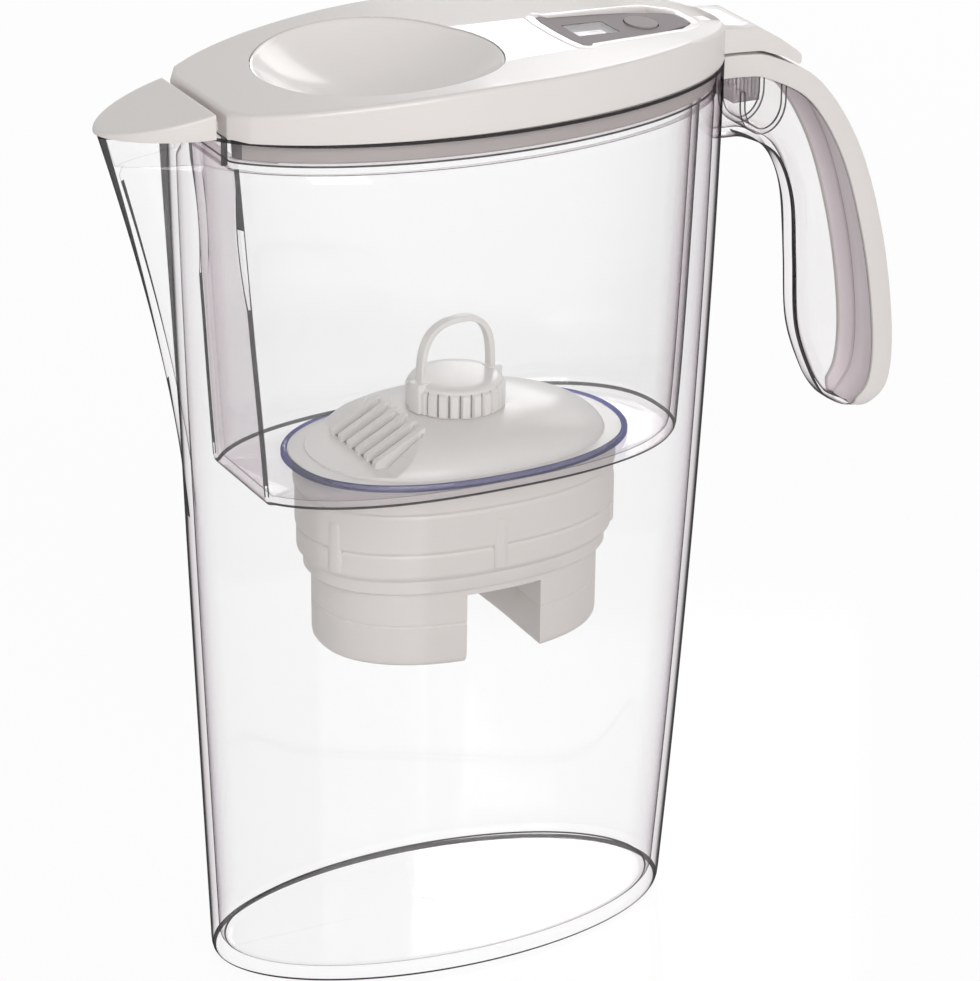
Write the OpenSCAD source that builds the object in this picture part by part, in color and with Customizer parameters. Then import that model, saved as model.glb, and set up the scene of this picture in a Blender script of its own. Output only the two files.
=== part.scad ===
// Water filter pitcher with a flip lid.
// Millimetres. The origin is the middle of the base, +Z is up, -X is the spout and +X is the handle.

/* [Jug] */
// Height of the jug's rim above the table
jug_h = 249.3; // [247:0.1:252]
// Half length of the oval base
base_a = 69.6; // [64:0.2:74]
// Half width of the oval base
base_b = 36.6; // [34.4:0.2:39]
// Half length of the oval rim
rim_a = 81.1; // [80:0.1:82]
// Half width of the oval rim
rim_b = 43.3; // [42.8:0.1:44]
// How far the rim's middle lies towards the handle
rim_shift = 2.4; // [1.8:0.1:3]
// Wall of the jug
jug_wall = 2.4; // [2:0.1:2.8]
// Thickness of the jug's floor
jug_floor = 3; // [2:0.1:5]
// How far the spout's tip stands out in front of the oval
spout_reach = 21.6; // [16:0.2:23]
// Half width of the spout where it leaves the oval, at the rim
spout_half_w = 10.5; // [8:0.1:12]
// Height at which the spout starts to grow out of the wall
spout_z = 130; // [110:1:160]
// How far the ledge that carries the reservoir lies below the rim
ledge_drop = 9.5; // [9:0.1:11]

/* [Handle] */
// Half width of the handle
handle_half_w = 10.4; // [9:0.1:11.4]
// Depth of the cover strip's sides
strip_depth = 6.5; // [5:0.1:8]
// Thickness of the cover strip
strip_wall = 1.6; // [1.2:0.1:2]

/* [Reservoir] */
// Wall of the reservoir
tank_wall = 2; // [1.6:0.1:2.2]
// Depth of the reservoir below the underside of its flange
tank_depth = 96.2; // [95:0.1:98]
// Gap between the reservoir's lower end and the jug's wall, at the spout and the handle
tank_end_gap = 8.1; // [7:0.1:9]
// Gap between the reservoir's lower sides and the jug's wall
tank_side_gap = 1.7; // [1.5:0.1:3]

/* [Cartridge] */
// Width of the reservoir's floor beside the cartridge's oval hole, at its ends
socket_end_rim = 20.4; // [20:0.1:22]
// Width of the floor beside that hole, at its sides
socket_side_rim = 5.6; // [5.4:0.1:7]
// How far the socket lies towards the handle
socket_x = 4.5; // [3.5:0.1:5.5]
// Running gap around the cartridge in the hole
socket_gap = 0.4; // [0.3:0.05:0.6]
// How far the cartridge's legs reach below the reservoir's floor
cartridge_depth = 55.1; // [52:0.1:60]
// Height of the gap between the two legs
leg_gap_h = 20.5; // [16:0.5:20.5]
// Wall of the cartridge cup
cup_wall = 1.6; // [1.2:0.1:2]
// Radius of the ribbed knob
knob_r = 13.9; // [13.2:0.1:14.5]
// Height of the carrying loop above the knob
loop_h = 17; // [14:0.5:19]

/* [Lid] */
// Height of the lid's outer edge above the jug's rim
lid_rise = 12.3; // [11.8:0.1:12.8]
// Thickness of the lid's skin
lid_skin = 2; // [1.8:0.1:2.2]
// Depth of the lid's plug below the jug's rim
plug_depth = 6.1; // [4:0.1:6.4]
// Radius of the round filling dish
dish_r = 34; // [33:0.1:34.4]
// Depth of the filling dish
dish_depth = 13; // [11:0.1:14]
// Half width of the spout flap
cap_half_w = 17.9; // [17:0.1:18.5]
// Width of the groove between the lid and the spout flap
groove_w = 2.7; // [2.5:0.1:2.9]

/* [Gauge] */
// Length of the gauge panel
gauge_l = 39; // [38.6:0.1:39.4]
// Half width of the gauge panel at its wide end
gauge_half_w = 15; // [14.8:0.1:15.2]
// Gap between the reset button and the dome below it, which is its travel
button_travel = 0.8; // [0.5:0.05:0.9]

/* [Hidden] */

rim_end = rim_shift + rim_a;            // where the rim ends at the handle
flange_z = jug_h - ledge_drop;          // underside of the reservoir's flange
tank_floor_z = flange_z - tank_depth;   // underside of the reservoir's floor
tank_top = tank_floor_z + tank_wall;    // upper face of that floor
gap = 0.3;            // clearance between pieces that part or slide
pin_gap = 0.05;       // radial clearance of a hinge pin in its bore

// ---- points and lofts -------------------------------------------------------------------------

function power(v, n) = sign(v) * pow(abs(v), n);
function mix(p, q, t) = p + (q - p) * t;

// Points of an oval |x/a|^n + |y/b|^n = 1, anticlockwise from +X.
function oval(a, b, n = 2, cx = 0, count = 48) =
    [for (i = [0 : count - 1]) let (t = 360 * i / count)
        [cx + a * power(cos(t), 2 / n), b * power(sin(t), 2 / n)]];

function at_z(ring, z) = [for (p = ring) [p[0], p[1], z]];

// One closed skin through rings of equal length. A capped loft closes both ends, and an uncapped one
// runs from its last ring back to its first.
module loft(rings, capped = true) {
    n = len(rings[0]);
    m = len(rings);
    walls = [for (j = [0 : m - (capped ? 2 : 1)]) for (i = [0 : n - 1])
        let (a = j * n + i, b = j * n + (i + 1) % n, k = ((j + 1) % m) * n)
        each [[a, k + i, k + (i + 1) % n], [a, k + (i + 1) % n, b]]];
    caps = capped ? [[for (i = [0 : n - 1]) i], [for (i = [n - 1 : -1 : 0]) (m - 1) * n + i]] : [];
    polyhedron(points = [for (r = rings) for (p = r) p], faces = concat(walls, caps), convexity = 8);
}

// Smooth curve through points: a number of steps between each two of them.
function spline(p, steps) =
    [for (k = [0 : len(p) - 2]) for (s = [0 : steps - (k == len(p) - 2 ? 0 : 1)])
        let (t = s / steps, a = p[max(k - 1, 0)], b = p[k], c = p[k + 1], d = p[min(k + 2, len(p) - 1)])
        0.5 * (2 * b + (c - a) * t + (2 * a - 5 * b + 4 * c - d) * t * t
            + (3 * b - a - 3 * c + d) * t * t * t)];

module along_y(r, y0, y1, fn = 48) {
    translate([0, y1, 0]) rotate([90, 0, 0]) cylinder(h = y1 - y0, r = r, $fn = fn);
}

// ---- jug --------------------------------------------------------------------------------------

function flare(z) = 1 - pow(1 - min(z / jug_h, 1), 1.5);
function jug_a(z) = mix(base_a, rim_a, flare(z));
function jug_b(z) = mix(base_b, rim_b, min(z / jug_h, 1));
function jug_x(z) = rim_shift * (1 - pow(1 - min(z / jug_h, 1), 2.5));
function spout_rise(z) = max(0, (z - spout_z) / (jug_h - spout_z));

// Jug section at a height, set in by t: the long way round the oval, then the pointed spout.
function jug_ring(z, t) =
    let (a = jug_a(z) - t, b = jug_b(z) - t, cx = jug_x(z), s = spout_rise(z),
        w = 4 + (spout_half_w - 4) * s - 0.65 * t, turn = 180 - asin(w / b), count = 44)
    concat([for (i = [0 : count]) let (v = -turn + 2 * turn * i / count) [cx + a * cos(v), b * sin(v), z]],
        [for (k = [5 / 6 : -1 / 6 : -5 / 6])
            [cx - a * sqrt(1 - pow(k * w / b, 2)) - spout_reach * pow(s, 1.65) * (1 - pow(abs(k), 1.5)),
                k * w, z]]);

jug_levels = [for (k = [0.016, 0.08, 0.24, 0.4, 0.52, 0.6, 0.68, 0.76, 0.82, 0.88, 0.93]) k * jug_h];
rim_wall = 2;          // the rim is thinner than the wall below, which leaves a ledge for the reservoir
ledge_in = 3.8;        // how far that ledge reaches in from the outside
ledge_h = 2.5;

module jug_body() {
    color([0.93, 0.93, 0.96, 0.35])
    loft(concat([jug_ring(0, 1.6), jug_ring(1.2, 0.35)],
        [for (z = jug_levels) jug_ring(z, 0)],
        [jug_ring(jug_h, 0), jug_ring(jug_h, rim_wall), jug_ring(flange_z, rim_wall),
            jug_ring(flange_z, ledge_in), jug_ring(flange_z - ledge_h, jug_wall)],
        [for (i = [len(jug_levels) - 1 : -1 : 1]) jug_ring(jug_levels[i], jug_wall)],
        [jug_ring(jug_floor + 3, jug_wall), jug_ring(jug_floor + 0.9, jug_wall + 1),
            jug_ring(jug_floor, jug_wall + 3)]));
}

// The jug's outside near the handle's root, used to cut the handle to it.
module jug_root_cutter() {
    loft([for (k = [0.76, 0.82, 0.88, 0.93, 1, 1.03]) jug_ring(k * jug_h, 0)]);
}

// ---- handle -----------------------------------------------------------------------------------

// Points [x, z] counted from the end of the jug's rim.
function from_rim(p) = [for (q = p) [rim_end + q[0], jug_h + q[1]]];

// The handle's outline in the middle plane, along the back and then along the grip side
handle_back = from_rim([[-3.5, -0.3], [4.5, -0.5], [13.5, -2.3], [29, -11.3], [42.5, -31.3], [51.5, -58.5],
    [56.1, -86.3], [55.9, -104.3], [51, -111.7], [46.1, -113.1]]);
handle_grip = from_rim([[-5.5, -26.1], [2.5, -26.5], [9.5, -27.5], [19.5, -33.7], [25.1, -46.8], [26.7, -65.8],
    [28.2, -86.3], [33.7, -101.7], [38.9, -109.7], [43.1, -112.4]]);
back_line = spline(handle_back, 2);
grip_line = spline(handle_grip, 2);
handle_n = len(back_line);
hollow_last = handle_n - 6;    // last station of the channel's hollow
strip_first = 2;               // first station of the cover strip, just outside the jug
strip_last = handle_n - 2;
latch_half_w = 5.6;

// Station i of the handle. A section gives [depth from the back, y] for the depth d of the station.
function station_d(i) = norm(grip_line[i] - back_line[i]);
function handle_ring(i, section) =
    let (o = back_line[i], d = station_d(i), u = (grip_line[i] - o) / d,
        t = max(0, (i - (handle_n - 6)) / 5), f = sqrt(1 - 0.9 * t * t))
    [for (p = section) [o[0] + u[0] * p[0], p[1] * f, o[1] + u[1] * p[0]]];

function side_d(d) = min(strip_depth, d * 0.42);   // how deep the strip's sides go
function skin_d(d) = min(strip_wall, d * 0.2);
strip_inside = handle_half_w - strip_wall - 0.1;

function channel_section(d) = let (w = handle_half_w, s = side_d(d), t = skin_d(d) + 0.1)
    [[d, 0.3 * w], [mix(s, d, 0.86), 0.72 * w], [mix(s, d, 0.55), w - 0.3], [s + 0.15, w],
        [s + 0.1, strip_inside], [t, strip_inside], [t, -strip_inside], [s + 0.1, -strip_inside],
        [s + 0.15, -w], [mix(s, d, 0.55), 0.3 - w], [mix(s, d, 0.86), -0.72 * w], [d, -0.3 * w]];

function hollow_section(d) = let (w = handle_half_w, s = side_d(d), i = strip_inside - 2)
    [[d - 2.4, 0.16 * w], [mix(s, d, 0.75), 0.5 * w], [mix(s, d, 0.5), i - 0.3], [-3, i],
        [-3, -i], [mix(s, d, 0.5), 0.3 - i], [mix(s, d, 0.75), -0.5 * w], [d - 2.4, -0.16 * w]];

function strip_section(d) = let (t = skin_d(d), w = handle_half_w, h = side_d(d), r = t * 0.3)
    [[0, w - r], [r, w], [h, w], [h, strip_inside + 0.1], [t, strip_inside + 0.1],
        [t, -strip_inside - 0.1], [h, -strip_inside - 0.1], [h, -w], [r, -w], [0, r - w]];

module handle_channel() {
    color([0.93, 0.93, 0.96, 0.35])
    difference() {
        loft([for (i = [0 : handle_n - 1]) handle_ring(i, channel_section(station_d(i)))]);
        loft([for (i = [0 : hollow_last]) handle_ring(i, hollow_section(station_d(i)))]);
        jug_root_cutter();
    }
}

// A loft through U sections of ten points, closed at both ends by the U itself.
module loft_u(rings) {
    n = 10;
    m = len(rings);
    walls = [for (j = [0 : m - 2]) for (i = [0 : n - 1])
        let (a = j * n + i, b = j * n + (i + 1) % n)
        each [[a, b, b + n], [a, b + n, a + n]]];
    cap = [[9, 0, 4, 5], [0, 1, 4], [1, 2, 3, 4], [9, 5, 8], [8, 5, 6, 7]];
    polyhedron(points = [for (r = rings) for (p = r) p],
        faces = concat(walls, [for (f = cap) [for (k = [len(f) - 1 : -1 : 0]) f[k]]],
            [for (f = cap) [for (k = f) k + (m - 1) * n]]), convexity = 8);
}

module handle_strip() {
    color([0.85, 0.83, 0.82])
    loft_u([for (i = [strip_first : strip_last]) handle_ring(i, strip_section(station_d(i)))]);
}

// Ribbed block in the channel under the lid's tab, which the strip snaps over. Its top follows the strip.
module handle_latch() {
    color([0.82, 0.82, 0.84, 0.6])
        difference() {
            translate([0, latch_half_w, 0]) rotate([90, 0, 0]) linear_extrude(2 * latch_half_w)
                polygon(from_rim([[3.8, -15.8], [12.1, -15.8], [12.1, -3.85], [8, -2.75], [3.8, -2.4]]));
            for (k = [0 : 2], side = [-1, 1])
                translate([rim_end + 4.9 + k * 2.4, side * latch_half_w - 0.7, jug_h - 14.3]) cube([1.1, 1.4, 13]);
        }
}

// ---- reservoir --------------------------------------------------------------------------------

function tank_n(z) = mix(2.45, 2.12, tank_k(z));  // exponent of the reservoir's oval
tank_a = jug_a(tank_floor_z) - jug_wall - tank_end_gap;    // half length and half width at its floor
tank_b = jug_b(tank_floor_z) - jug_wall - tank_side_gap;
dent_z = flange_z - 24.8;                                  // middle of the hollows on the two front corners
dent_h = 16;
function tank_k(z) = max(0, (z - tank_floor_z - 4.4) / (tank_depth - 4.4));
function tank_oa(z) = mix(tank_a, rim_a - ledge_in - 3.7, pow(tank_k(z), 0.8));
function tank_ob(z) = mix(tank_b, rim_b - ledge_in - 1.3, tank_k(z));
function front_x(z) = rim_shift + mix(3.5 - tank_a, 9.9 - rim_a, (z - tank_floor_z - 4.9) / (jug_h - tank_floor_z - 4.9));
function dent(z) = max(0, 1 - pow((z - dent_z) / dent_h, 2));

// Reservoir section set in by t: round the oval, then across the flat front.
function tank_ring(z, t) =
    let (a = tank_oa(z) - t, b = tank_ob(z) - t, cx = rim_shift, xf = front_x(z) + t,
        cut = 1.4 + 3.2 * dent(z), xe = xf + cut, n = tank_n(z),
        turn = 180 - acos(pow((cx - xe) / a, n / 2)), count = 40,
        w = b * pow(1 - pow(min(0.999, (cx - xf) / a), n), 1 / n) - 0.5 * cut)
    concat([for (i = [0 : count]) let (v = -turn + 2 * turn * i / count)
            [cx + a * power(cos(v), 2 / n), b * power(sin(v), 2 / n), z]],
        [[xf, w, z], [xf, 0, z], [xf, -w, z]]);

// Socket hole with the same number of points as a reservoir section.
function socket_ring(z, a, b) =
    let (turn = 165, count = 40,
        v = concat([for (i = [0 : count]) -turn + 2 * turn * i / count], [171, 180, 189]))
    [for (w = v) [socket_x + a * power(cos(w), 2 / 2.28), b * power(sin(w), 2 / 2.28), z]];

// Flange section, set in by t from the inside of the jug's rim. Its front spans the flat wall.
function flange_ring(z, t) =
    let (a = rim_a - rim_wall - gap - t, b = rim_b - rim_wall - gap - t, cx = rim_shift,
        xf = front_x(z) - 1.6 + t * 0.5, xe = xf + 1, turn = 180 - acos((cx - xe) / a), count = 40,
        w = b * sqrt(1 - pow((cx - xf) / a, 2)) - 0.6)
    concat([for (i = [0 : count]) let (v = -turn + 2 * turn * i / count)
            [cx + a * cos(v), b * sin(v), z]],
        [[xf, w, z], [xf, 0, z], [xf, -w, z]]);

flange_top = flange_z + 2.7;

module reservoir() {
    zs = concat([mix(tank_floor_z, dent_z, 0.44)], [for (k = [-1, -0.56, 0, 0.56, 1]) dent_z + k * dent_h]);
    color([0.93, 0.93, 0.96, 0.35])
    loft(concat(
        [socket_ring(tank_floor_z, socket_a, socket_b), tank_ring(tank_floor_z, 2.2),
            tank_ring(tank_floor_z + 1, 0.7), tank_ring(tank_floor_z + 3, 0)],
        [for (z = zs) tank_ring(z, 0)],
        [tank_ring(flange_z, 0), flange_ring(flange_z, 0), flange_ring(flange_top, 0),
            tank_ring(flange_top, tank_wall - 0.4), tank_ring(flange_z - 1, tank_wall)],
        [for (i = [len(zs) - 1 : -1 : 0]) tank_ring(zs[i], tank_wall)],
        [tank_ring(tank_top + 2, tank_wall), tank_ring(tank_top, tank_wall + 1.1),
            socket_ring(tank_top, socket_a, socket_b)]), capped = false);
}

seal_h = 1.6;
module socket_seal() {
    color([0.47, 0.47, 0.66])
    translate([socket_x, 0, tank_top])
        difference() {
            linear_extrude(seal_h) polygon(oval(socket_a + 3, socket_b + 2.2, cn));
            translate([0, 0, -1]) linear_extrude(seal_h + 2)
                polygon(oval(cup_flange_a + 0.2, cup_flange_b + 0.2, cn));
        }
}

// ---- cartridge --------------------------------------------------------------------------------

cn = 2.28;                                     // exponent of the cartridge's oval
socket_a = tank_a - socket_end_rim;            // half length and half width of the hole for the cartridge
socket_b = tank_b - socket_side_rim;
cup_a = socket_a - socket_gap;
cup_b = socket_b - socket_gap;
cup_flange_a = socket_a + 1.3;
cup_flange_b = socket_b + 1.3;
cup_step_z = tank_top - 33.1;                  // where the cup narrows to its two legs
leg_z = tank_top - cartridge_depth;
leg_a = cup_a - 5;
leg_b = cup_b - 3;
leg_left = -9.5;                               // faces of the legs towards each other
leg_right = 13.5;
leg_gap_top = leg_z + leg_gap_h;
dome_top = tank_top + 11.1;
flange_top_z = tank_top + 1.2;                 // upper face of the cup's flange

module pod(a, b, z0, z1) {
    translate([0, 0, z0]) linear_extrude(z1 - z0) polygon(oval(a, b, cn));
}

// The part of an oval pod on one side of the gap between the legs.
module leg_part(a, b, z0, z1, side, inset = 0) {
    intersection() {
        pod(a, b, z0, z1);
        translate([side < 0 ? leg_left - 100 - inset : leg_right + inset, -50, z0 - 1])
            cube([100, 100, z1 - z0 + 2]);
    }
}

body_a = cup_a - 0.9;                          // the cup's body between its bands and clips
body_b = cup_b - 0.9;
band_z0 = cup_step_z + 5.5;

// Upright clip on the side of the cup at the angle w, as proud as the cup's rim
module clip(w) {
    p = [body_a * power(cos(w), 2 / cn), body_b * power(sin(w), 2 / cn)];
    q = [body_a * power(cos(w + 1), 2 / cn), body_b * power(sin(w + 1), 2 / cn)];
    intersection() {
        translate([p[0], p[1], band_z0 + 0.5]) rotate([0, 0, atan2(q[1] - p[1], q[0] - p[0])])
            translate([-2.2, -1.2, 0]) cube([4.4, 2.4, 15]);
        pod(cup_a, cup_b, band_z0, band_z0 + 20);
    }
}

module cartridge_cup() {
    color([0.87, 0.84, 0.83])
    translate([socket_x, 0, 0])
        difference() {
            union() {
                pod(cup_flange_a, cup_flange_b, tank_top, flange_top_z);
                pod(body_a, body_b, band_z0, tank_top + 0.1);
                pod(cup_a, cup_b, tank_top - 1.6, tank_top + 0.1);
                // two raised bands round the cup, and four upright clips on its sides
                for (z = [tank_top - 6.8, tank_top - 16.4]) pod(body_a + 0.4, body_b + 0.4, z, z + 4);
                for (w = [-90, -158, 90, -22]) clip(w);
                pod(body_a - 0.7, body_b - 0.6, cup_step_z, band_z0 + 0.1);
                pod(leg_a, leg_b, leg_gap_top, cup_step_z + 0.1);
                for (side = [-1, 1]) {
                    leg_part(leg_a, leg_b, leg_z + 2.5, leg_gap_top + 0.1, side);
                    leg_part(leg_a - 1.2, leg_b - 1.2, leg_z, leg_z + 2.6, side, 0.8);
                }
            }
            pod(cup_a - 3, cup_b - 3, cup_step_z + 2, tank_top + 5);
            for (side = [-1, 1]) {
                leg_part(leg_a - cup_wall, leg_b - cup_wall, leg_z + 3, cup_step_z + 2.1, side, cup_wall);
                leg_part(leg_a - 6, leg_b - 6, leg_z - 1, leg_z + 3.1, side, 6);
            }
        }
}

// Height of the cover above the cup, from its top (k = 0) to its rim (k = 1).
knob_seat_r = 11.5;                            // radius of the hole that the knob's foot stands in
function dome_z(k) = flange_top_z + (dome_top - flange_top_z) * pow(1 - pow(k, 2.6), 0.62);
function dome_ring(k, t) =
    let (r = knob_seat_r - 1.3)
    at_z(oval(mix(r, cup_flange_a - t, k), mix(r, cup_flange_b - t, k), mix(2, cn, k)), dome_z(k) - t);

// The cover's facet towards the spout: its upper and lower end, [x, height above the cup's flange], as
// counted from the middle of the socket, and the rim end of the apron below it.
facet_top = [-17.2, 10.2];
facet_foot = [-31.5, 1.1];
apron_end = [-60, 0.8];
fin_pitch = 5.45;
fin_w = 2.1;

// Everything above the facet and the apron, lowered by drop.
module above_facet(drop) {
    translate([0, 40, flange_top_z - drop]) rotate([90, 0, 0]) linear_extrude(80)
        polygon([apron_end, facet_foot, facet_top, facet_top + 2 * (facet_top - facet_foot), [-60, 40]]);
}

// One louvre blade. Its top edge falls less steeply than the facet, so it ends in an upright face.
module fin(y) {
    translate([0, y + fin_w / 2, flange_top_z]) rotate([90, 0, 0]) linear_extrude(fin_w)
        polygon([facet_top + [0.8, 0.2], facet_top + [-1, -0.2], facet_foot + [0, 1.6], facet_foot + [-0.3, 1.2],
            facet_foot - [0.3, 0.5], facet_foot + [1, -0.5], facet_top + [0.8, -2.4]]);
}

module cartridge_dome() {
    color([0.88, 0.86, 0.85])
    translate([socket_x, 0, 0]) {
        difference() {
            loft(concat([at_z(oval(cup_flange_a, cup_flange_b, cn), flange_top_z)],
                [for (k = [0.985, 0.94, 0.86, 0.74, 0.55, 0.3, 0]) dome_ring(k, 0)]));
            difference() {
                loft(concat([at_z(oval(cup_flange_a - 4.5, cup_flange_b - 3.6, cn), flange_top_z - 0.1)],
                    [for (k = [0.86, 0.74, 0.55, 0.3, 0]) dome_ring(k, 1.6)]));
                above_facet(1.6);
            }
            above_facet(0);
            translate([0, 0, dome_top - 3]) cylinder(h = 6, r = knob_seat_r, $fn = 96);
            // five slots between the fins let the water in
            for (k = [-2 : 2])
                translate([facet_foot[0] + 1.2, k * fin_pitch - (fin_pitch - fin_w) / 2 + 0.1, flange_top_z - 1])
                    cube([facet_top[0] - facet_foot[0] - 3, fin_pitch - fin_w - 0.2, 30]);
        }
        for (k = [-2.5 : 1 : 2.5]) fin(k * fin_pitch);
    }
}

module cartridge_knob() {
    ribs = 26;
    color([0.88, 0.86, 0.85])
    translate([socket_x, 0, 0]) {
        translate([0, 0, dome_top]) linear_extrude(6.8)
            polygon([for (i = [0 : ribs * 4 - 1]) let (t = 360 * i / (ribs * 4),
                r = (i % 4 < 3) ? knob_r : knob_r - 1) [r * cos(t), r * sin(t)]]);
        translate([0, 0, dome_top - 1.6]) cylinder(h = 1.7, r = knob_seat_r - 0.2, $fn = 96);
        translate([0, 0, dome_top + 6.7]) cylinder(h = 1.7, r1 = 13, r2 = 12.3, $fn = 96);
    }
}

module cartridge_loop() {
    // middle line of the loop, [x, z]
    arch = [for (t = [0 : 12 : 180]) [12 * power(cos(t), 0.8), loop_h * power(sin(t), 0.62)]];
    n = len(arch);
    color([0.88, 0.86, 0.85])
    translate([socket_x, 0, dome_top + 8.4]) rotate([90, 0, 10]) translate([0, 0, -1.7])
        linear_extrude(3.4)
            polygon(concat([for (p = arch) [p[0] * 12.8 / 12, p[1]]],
                [for (i = [n - 1 : -1 : 0]) [arch[i][0] * 10.9 / 12, arch[i][1] * 0.89]]));
}

module inlet_screen() {
    color([0.8, 0.8, 0.8])
    translate([socket_x, 0, 0])
        difference() {
            pod(cup_a - 3.1, cup_b - 3.1, flange_top_z - 1, flange_top_z - 0.1);
            for (x = [-32 : 8 : 32], y = [-8, 8])
                translate([x - 2.5, y - 6.5, tank_top - 5]) cube([5, 13, 20]);
        }
}

module upper_felt() {
    color([0.93, 0.93, 0.9])
    translate([socket_x, 0, 0]) pod(cup_a - 3.1, cup_b - 3.1, flange_top_z - 4, flange_top_z - 1);
}

module carbon_media() {
    color([0.16, 0.16, 0.17])
    translate([socket_x, 0, 0]) {
        pod(cup_a - 3.1, cup_b - 3.1, cup_step_z + 2, flange_top_z - 4);
        for (side = [-1, 1])
            leg_part(leg_a - cup_wall - 0.1, leg_b - cup_wall - 0.1, leg_z + 6,
                cup_step_z + 2.1, side, cup_wall + 0.1);
    }
}

module lower_felts() {
    color([0.93, 0.93, 0.9])
    translate([socket_x, 0, 0])
        for (side = [-1, 1])
            leg_part(leg_a - cup_wall - 0.1, leg_b - cup_wall - 0.1, leg_z + 4, leg_z + 6, side,
                cup_wall + 0.1);
}

module outlet_grids() {
    color([0.8, 0.8, 0.8])
    translate([socket_x, 0, 0])
        for (side = [-1, 1])
            difference() {
                leg_part(leg_a - cup_wall - 0.1, leg_b - cup_wall - 0.1, leg_z + 3, leg_z + 4,
                    side, cup_wall + 0.1);
                for (x = [-28, -22, 22, 28], y = [-8, 8])
                    translate([x - 2, y - 5, leg_z]) cube([4, 10, 8]);
            }
}

module outlet_plug() {
    color([0.72, 0.12, 0.1])
    translate([socket_x - 4, 0, leg_gap_top - 4]) cylinder(h = 4, r = 3.2, $fn = 48);
}

// ---- lid --------------------------------------------------------------------------------------

edge_z = jug_h + lid_rise;
cap_back = rim_shift - rim_a + 4.5;            // where the spout flap's straight back edge lies
lid_front = cap_back + groove_w;
dish_x = lid_front + 52;                       // middle of the filling dish
function side_z(x) = edge_z - (x < 0 ? 5.2 * pow(-x / 73, 1.5) : x < 60 ? 0 : 0.136 * (x - 60));
function band_w(x) = lookup(x, [[-73, 17], [-47, 19], [11, 17], [36, 15], [60, 10], [77, 1]]);
function band_z(x) = edge_z - 2.2 - 3.1 * pow(max(0, -x - 20) / 53, 2) - 1.4 * pow(max(0, x - 36) / 36, 2);
function lid_half(x) = 43.4 * sqrt(max(0.01, 1 - pow((x - 0.5) / 83, 2)));
function lid_z(x, y) = let (w = band_w(x), h = max(w + 1, lid_half(x) - 1.2))
    mix(band_z(x), side_z(x), max(0, min(1, (abs(y) - w) / (h - w))));

// Outline of the lid set in by t: round the oval, then the flat front behind the spout flap.
function lid_ring(t) =
    let (a = rim_a + 1.9 - t, b = rim_b + 0.1 - t, turn = 180 - acos((-3 - lid_front) / (rim_a + 1.9)), count = 40)
    concat([for (i = [0 : count]) let (v = -turn + 2 * turn * i / count)
            [0.5 + a * cos(v), b * sin(v)]],
        [for (k = [3 : -1 : -3]) [lid_front + t, k / 3 * (cap_half_w + 0.4 - 0.6 * t)]]);

function plug_ring(z, t) =
    let (a = rim_a - rim_wall - gap - 0.1 - t, b = rim_b - rim_wall - gap - 0.1 - t,
        turn = 180 - acos((rim_shift - lid_front - 3.4) / a), count = 40)
    concat([for (i = [0 : count]) let (v = -turn + 2 * turn * i / count)
            [rim_shift + a * cos(v), b * sin(v), z]],
        [for (k = [3 : -1 : -3]) [lid_front + 2.5 + t, k / 3 * (cap_half_w - 2.3 - 0.6 * t), z]]);

// Lid section between its outline (k = 0) and the round opening (k = 1), lowered by drop.
function lid_mid(k, drop, t = 1.2) =
    [for (p = lid_ring(t)) let (w = atan2(p[1], p[0] - dish_x), r = dish_r + gap + 0.1,
        q = mix([p[0], p[1]], [dish_x + r * cos(w), r * sin(w)], k)) [q[0], q[1], lid_z(q[0], q[1]) - drop]];
function plug_top(t) = [for (p = plug_ring(0, t)) [p[0], p[1], lid_z(p[0], p[1]) - lid_skin - 0.3]];

// Hinge lines of the filling flap and of the spout flap, [x, z], and their pins
fp = [dish_x + dish_r + 2, jug_h + 5.3];
fp_r = 1.1;
sp = [cap_back - 2.8, jug_h + 2.9];
sp_r = 0.9;

module fill_ears() {
    for (side = [-1, 1])
        difference() {
            translate([fp[0], side < 0 ? -12 : 9, fp[1]]) {
                along_y(2.3, 0, 3);
                translate([-1.6, 0, 0]) cube([3.9, 3, 4]);
            }
            translate([fp[0], 0, fp[1]]) along_y(fp_r, -20, 20);
        }
}

module spout_ears() {
    for (side = [-1, 1])
        difference() {
            translate([sp[0], side < 0 ? -12.6 : 10.2, sp[1]]) {
                along_y(1.5, 0, 2.4);
                translate([-1.2, 0, -2.3]) cube([lid_front - sp[0] + 2, 2.4, 1.3]);
            }
            translate([sp[0], 0, sp[1]]) along_y(sp_r, -20, 20);
        }
}

module lid_shell() {
    color([0.87, 0.84, 0.83]) {
        difference() {
            loft([plug_ring(jug_h - plug_depth, 0), plug_ring(jug_h, 0), at_z(lid_ring(0), jug_h),
                [for (p = lid_ring(0.5)) [p[0], p[1], side_z(p[0]) - 0.9]],
                lid_mid(0, 0), lid_mid(0.35, 0), lid_mid(0.68, 0), lid_mid(0.86, 0), lid_mid(1, 0),
                lid_mid(1, lid_skin), lid_mid(0.86, lid_skin), lid_mid(0.6, lid_skin),
                lid_mid(0.3, lid_skin, 5), plug_top(1.8), plug_ring(jug_h - plug_depth, 1.8)],
                capped = false);
            in_gauge() {
                translate([0, 0, -panel_t]) linear_extrude(10) polygon(panel_points(0.15));
                translate([0, 0, -12]) linear_extrude(20) polygon(house_points(-0.2));
            }
        }
        fill_ears();
        spout_ears();
        // rim that the gauge panel lies in
        in_gauge() translate([0, 0, -1.5]) linear_extrude(2.2) difference() {
            polygon(panel_points(3));
            polygon(panel_points(0.15));
        }
        // tab over the handle
        translate([0, 12, 0]) rotate([90, 0, 0]) linear_extrude(24)
            polygon(from_rim([[-5.5, 8.1], [8, 7.2], [15.1, 2.9], [21.3, -1.9], [21.6, -5],
                [16.1, -2.2], [8.5, 0.6], [1, 1.1], [-3.5, 3.2]]));
    }
}

// ---- filling flap -----------------------------------------------------------------------------

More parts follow.
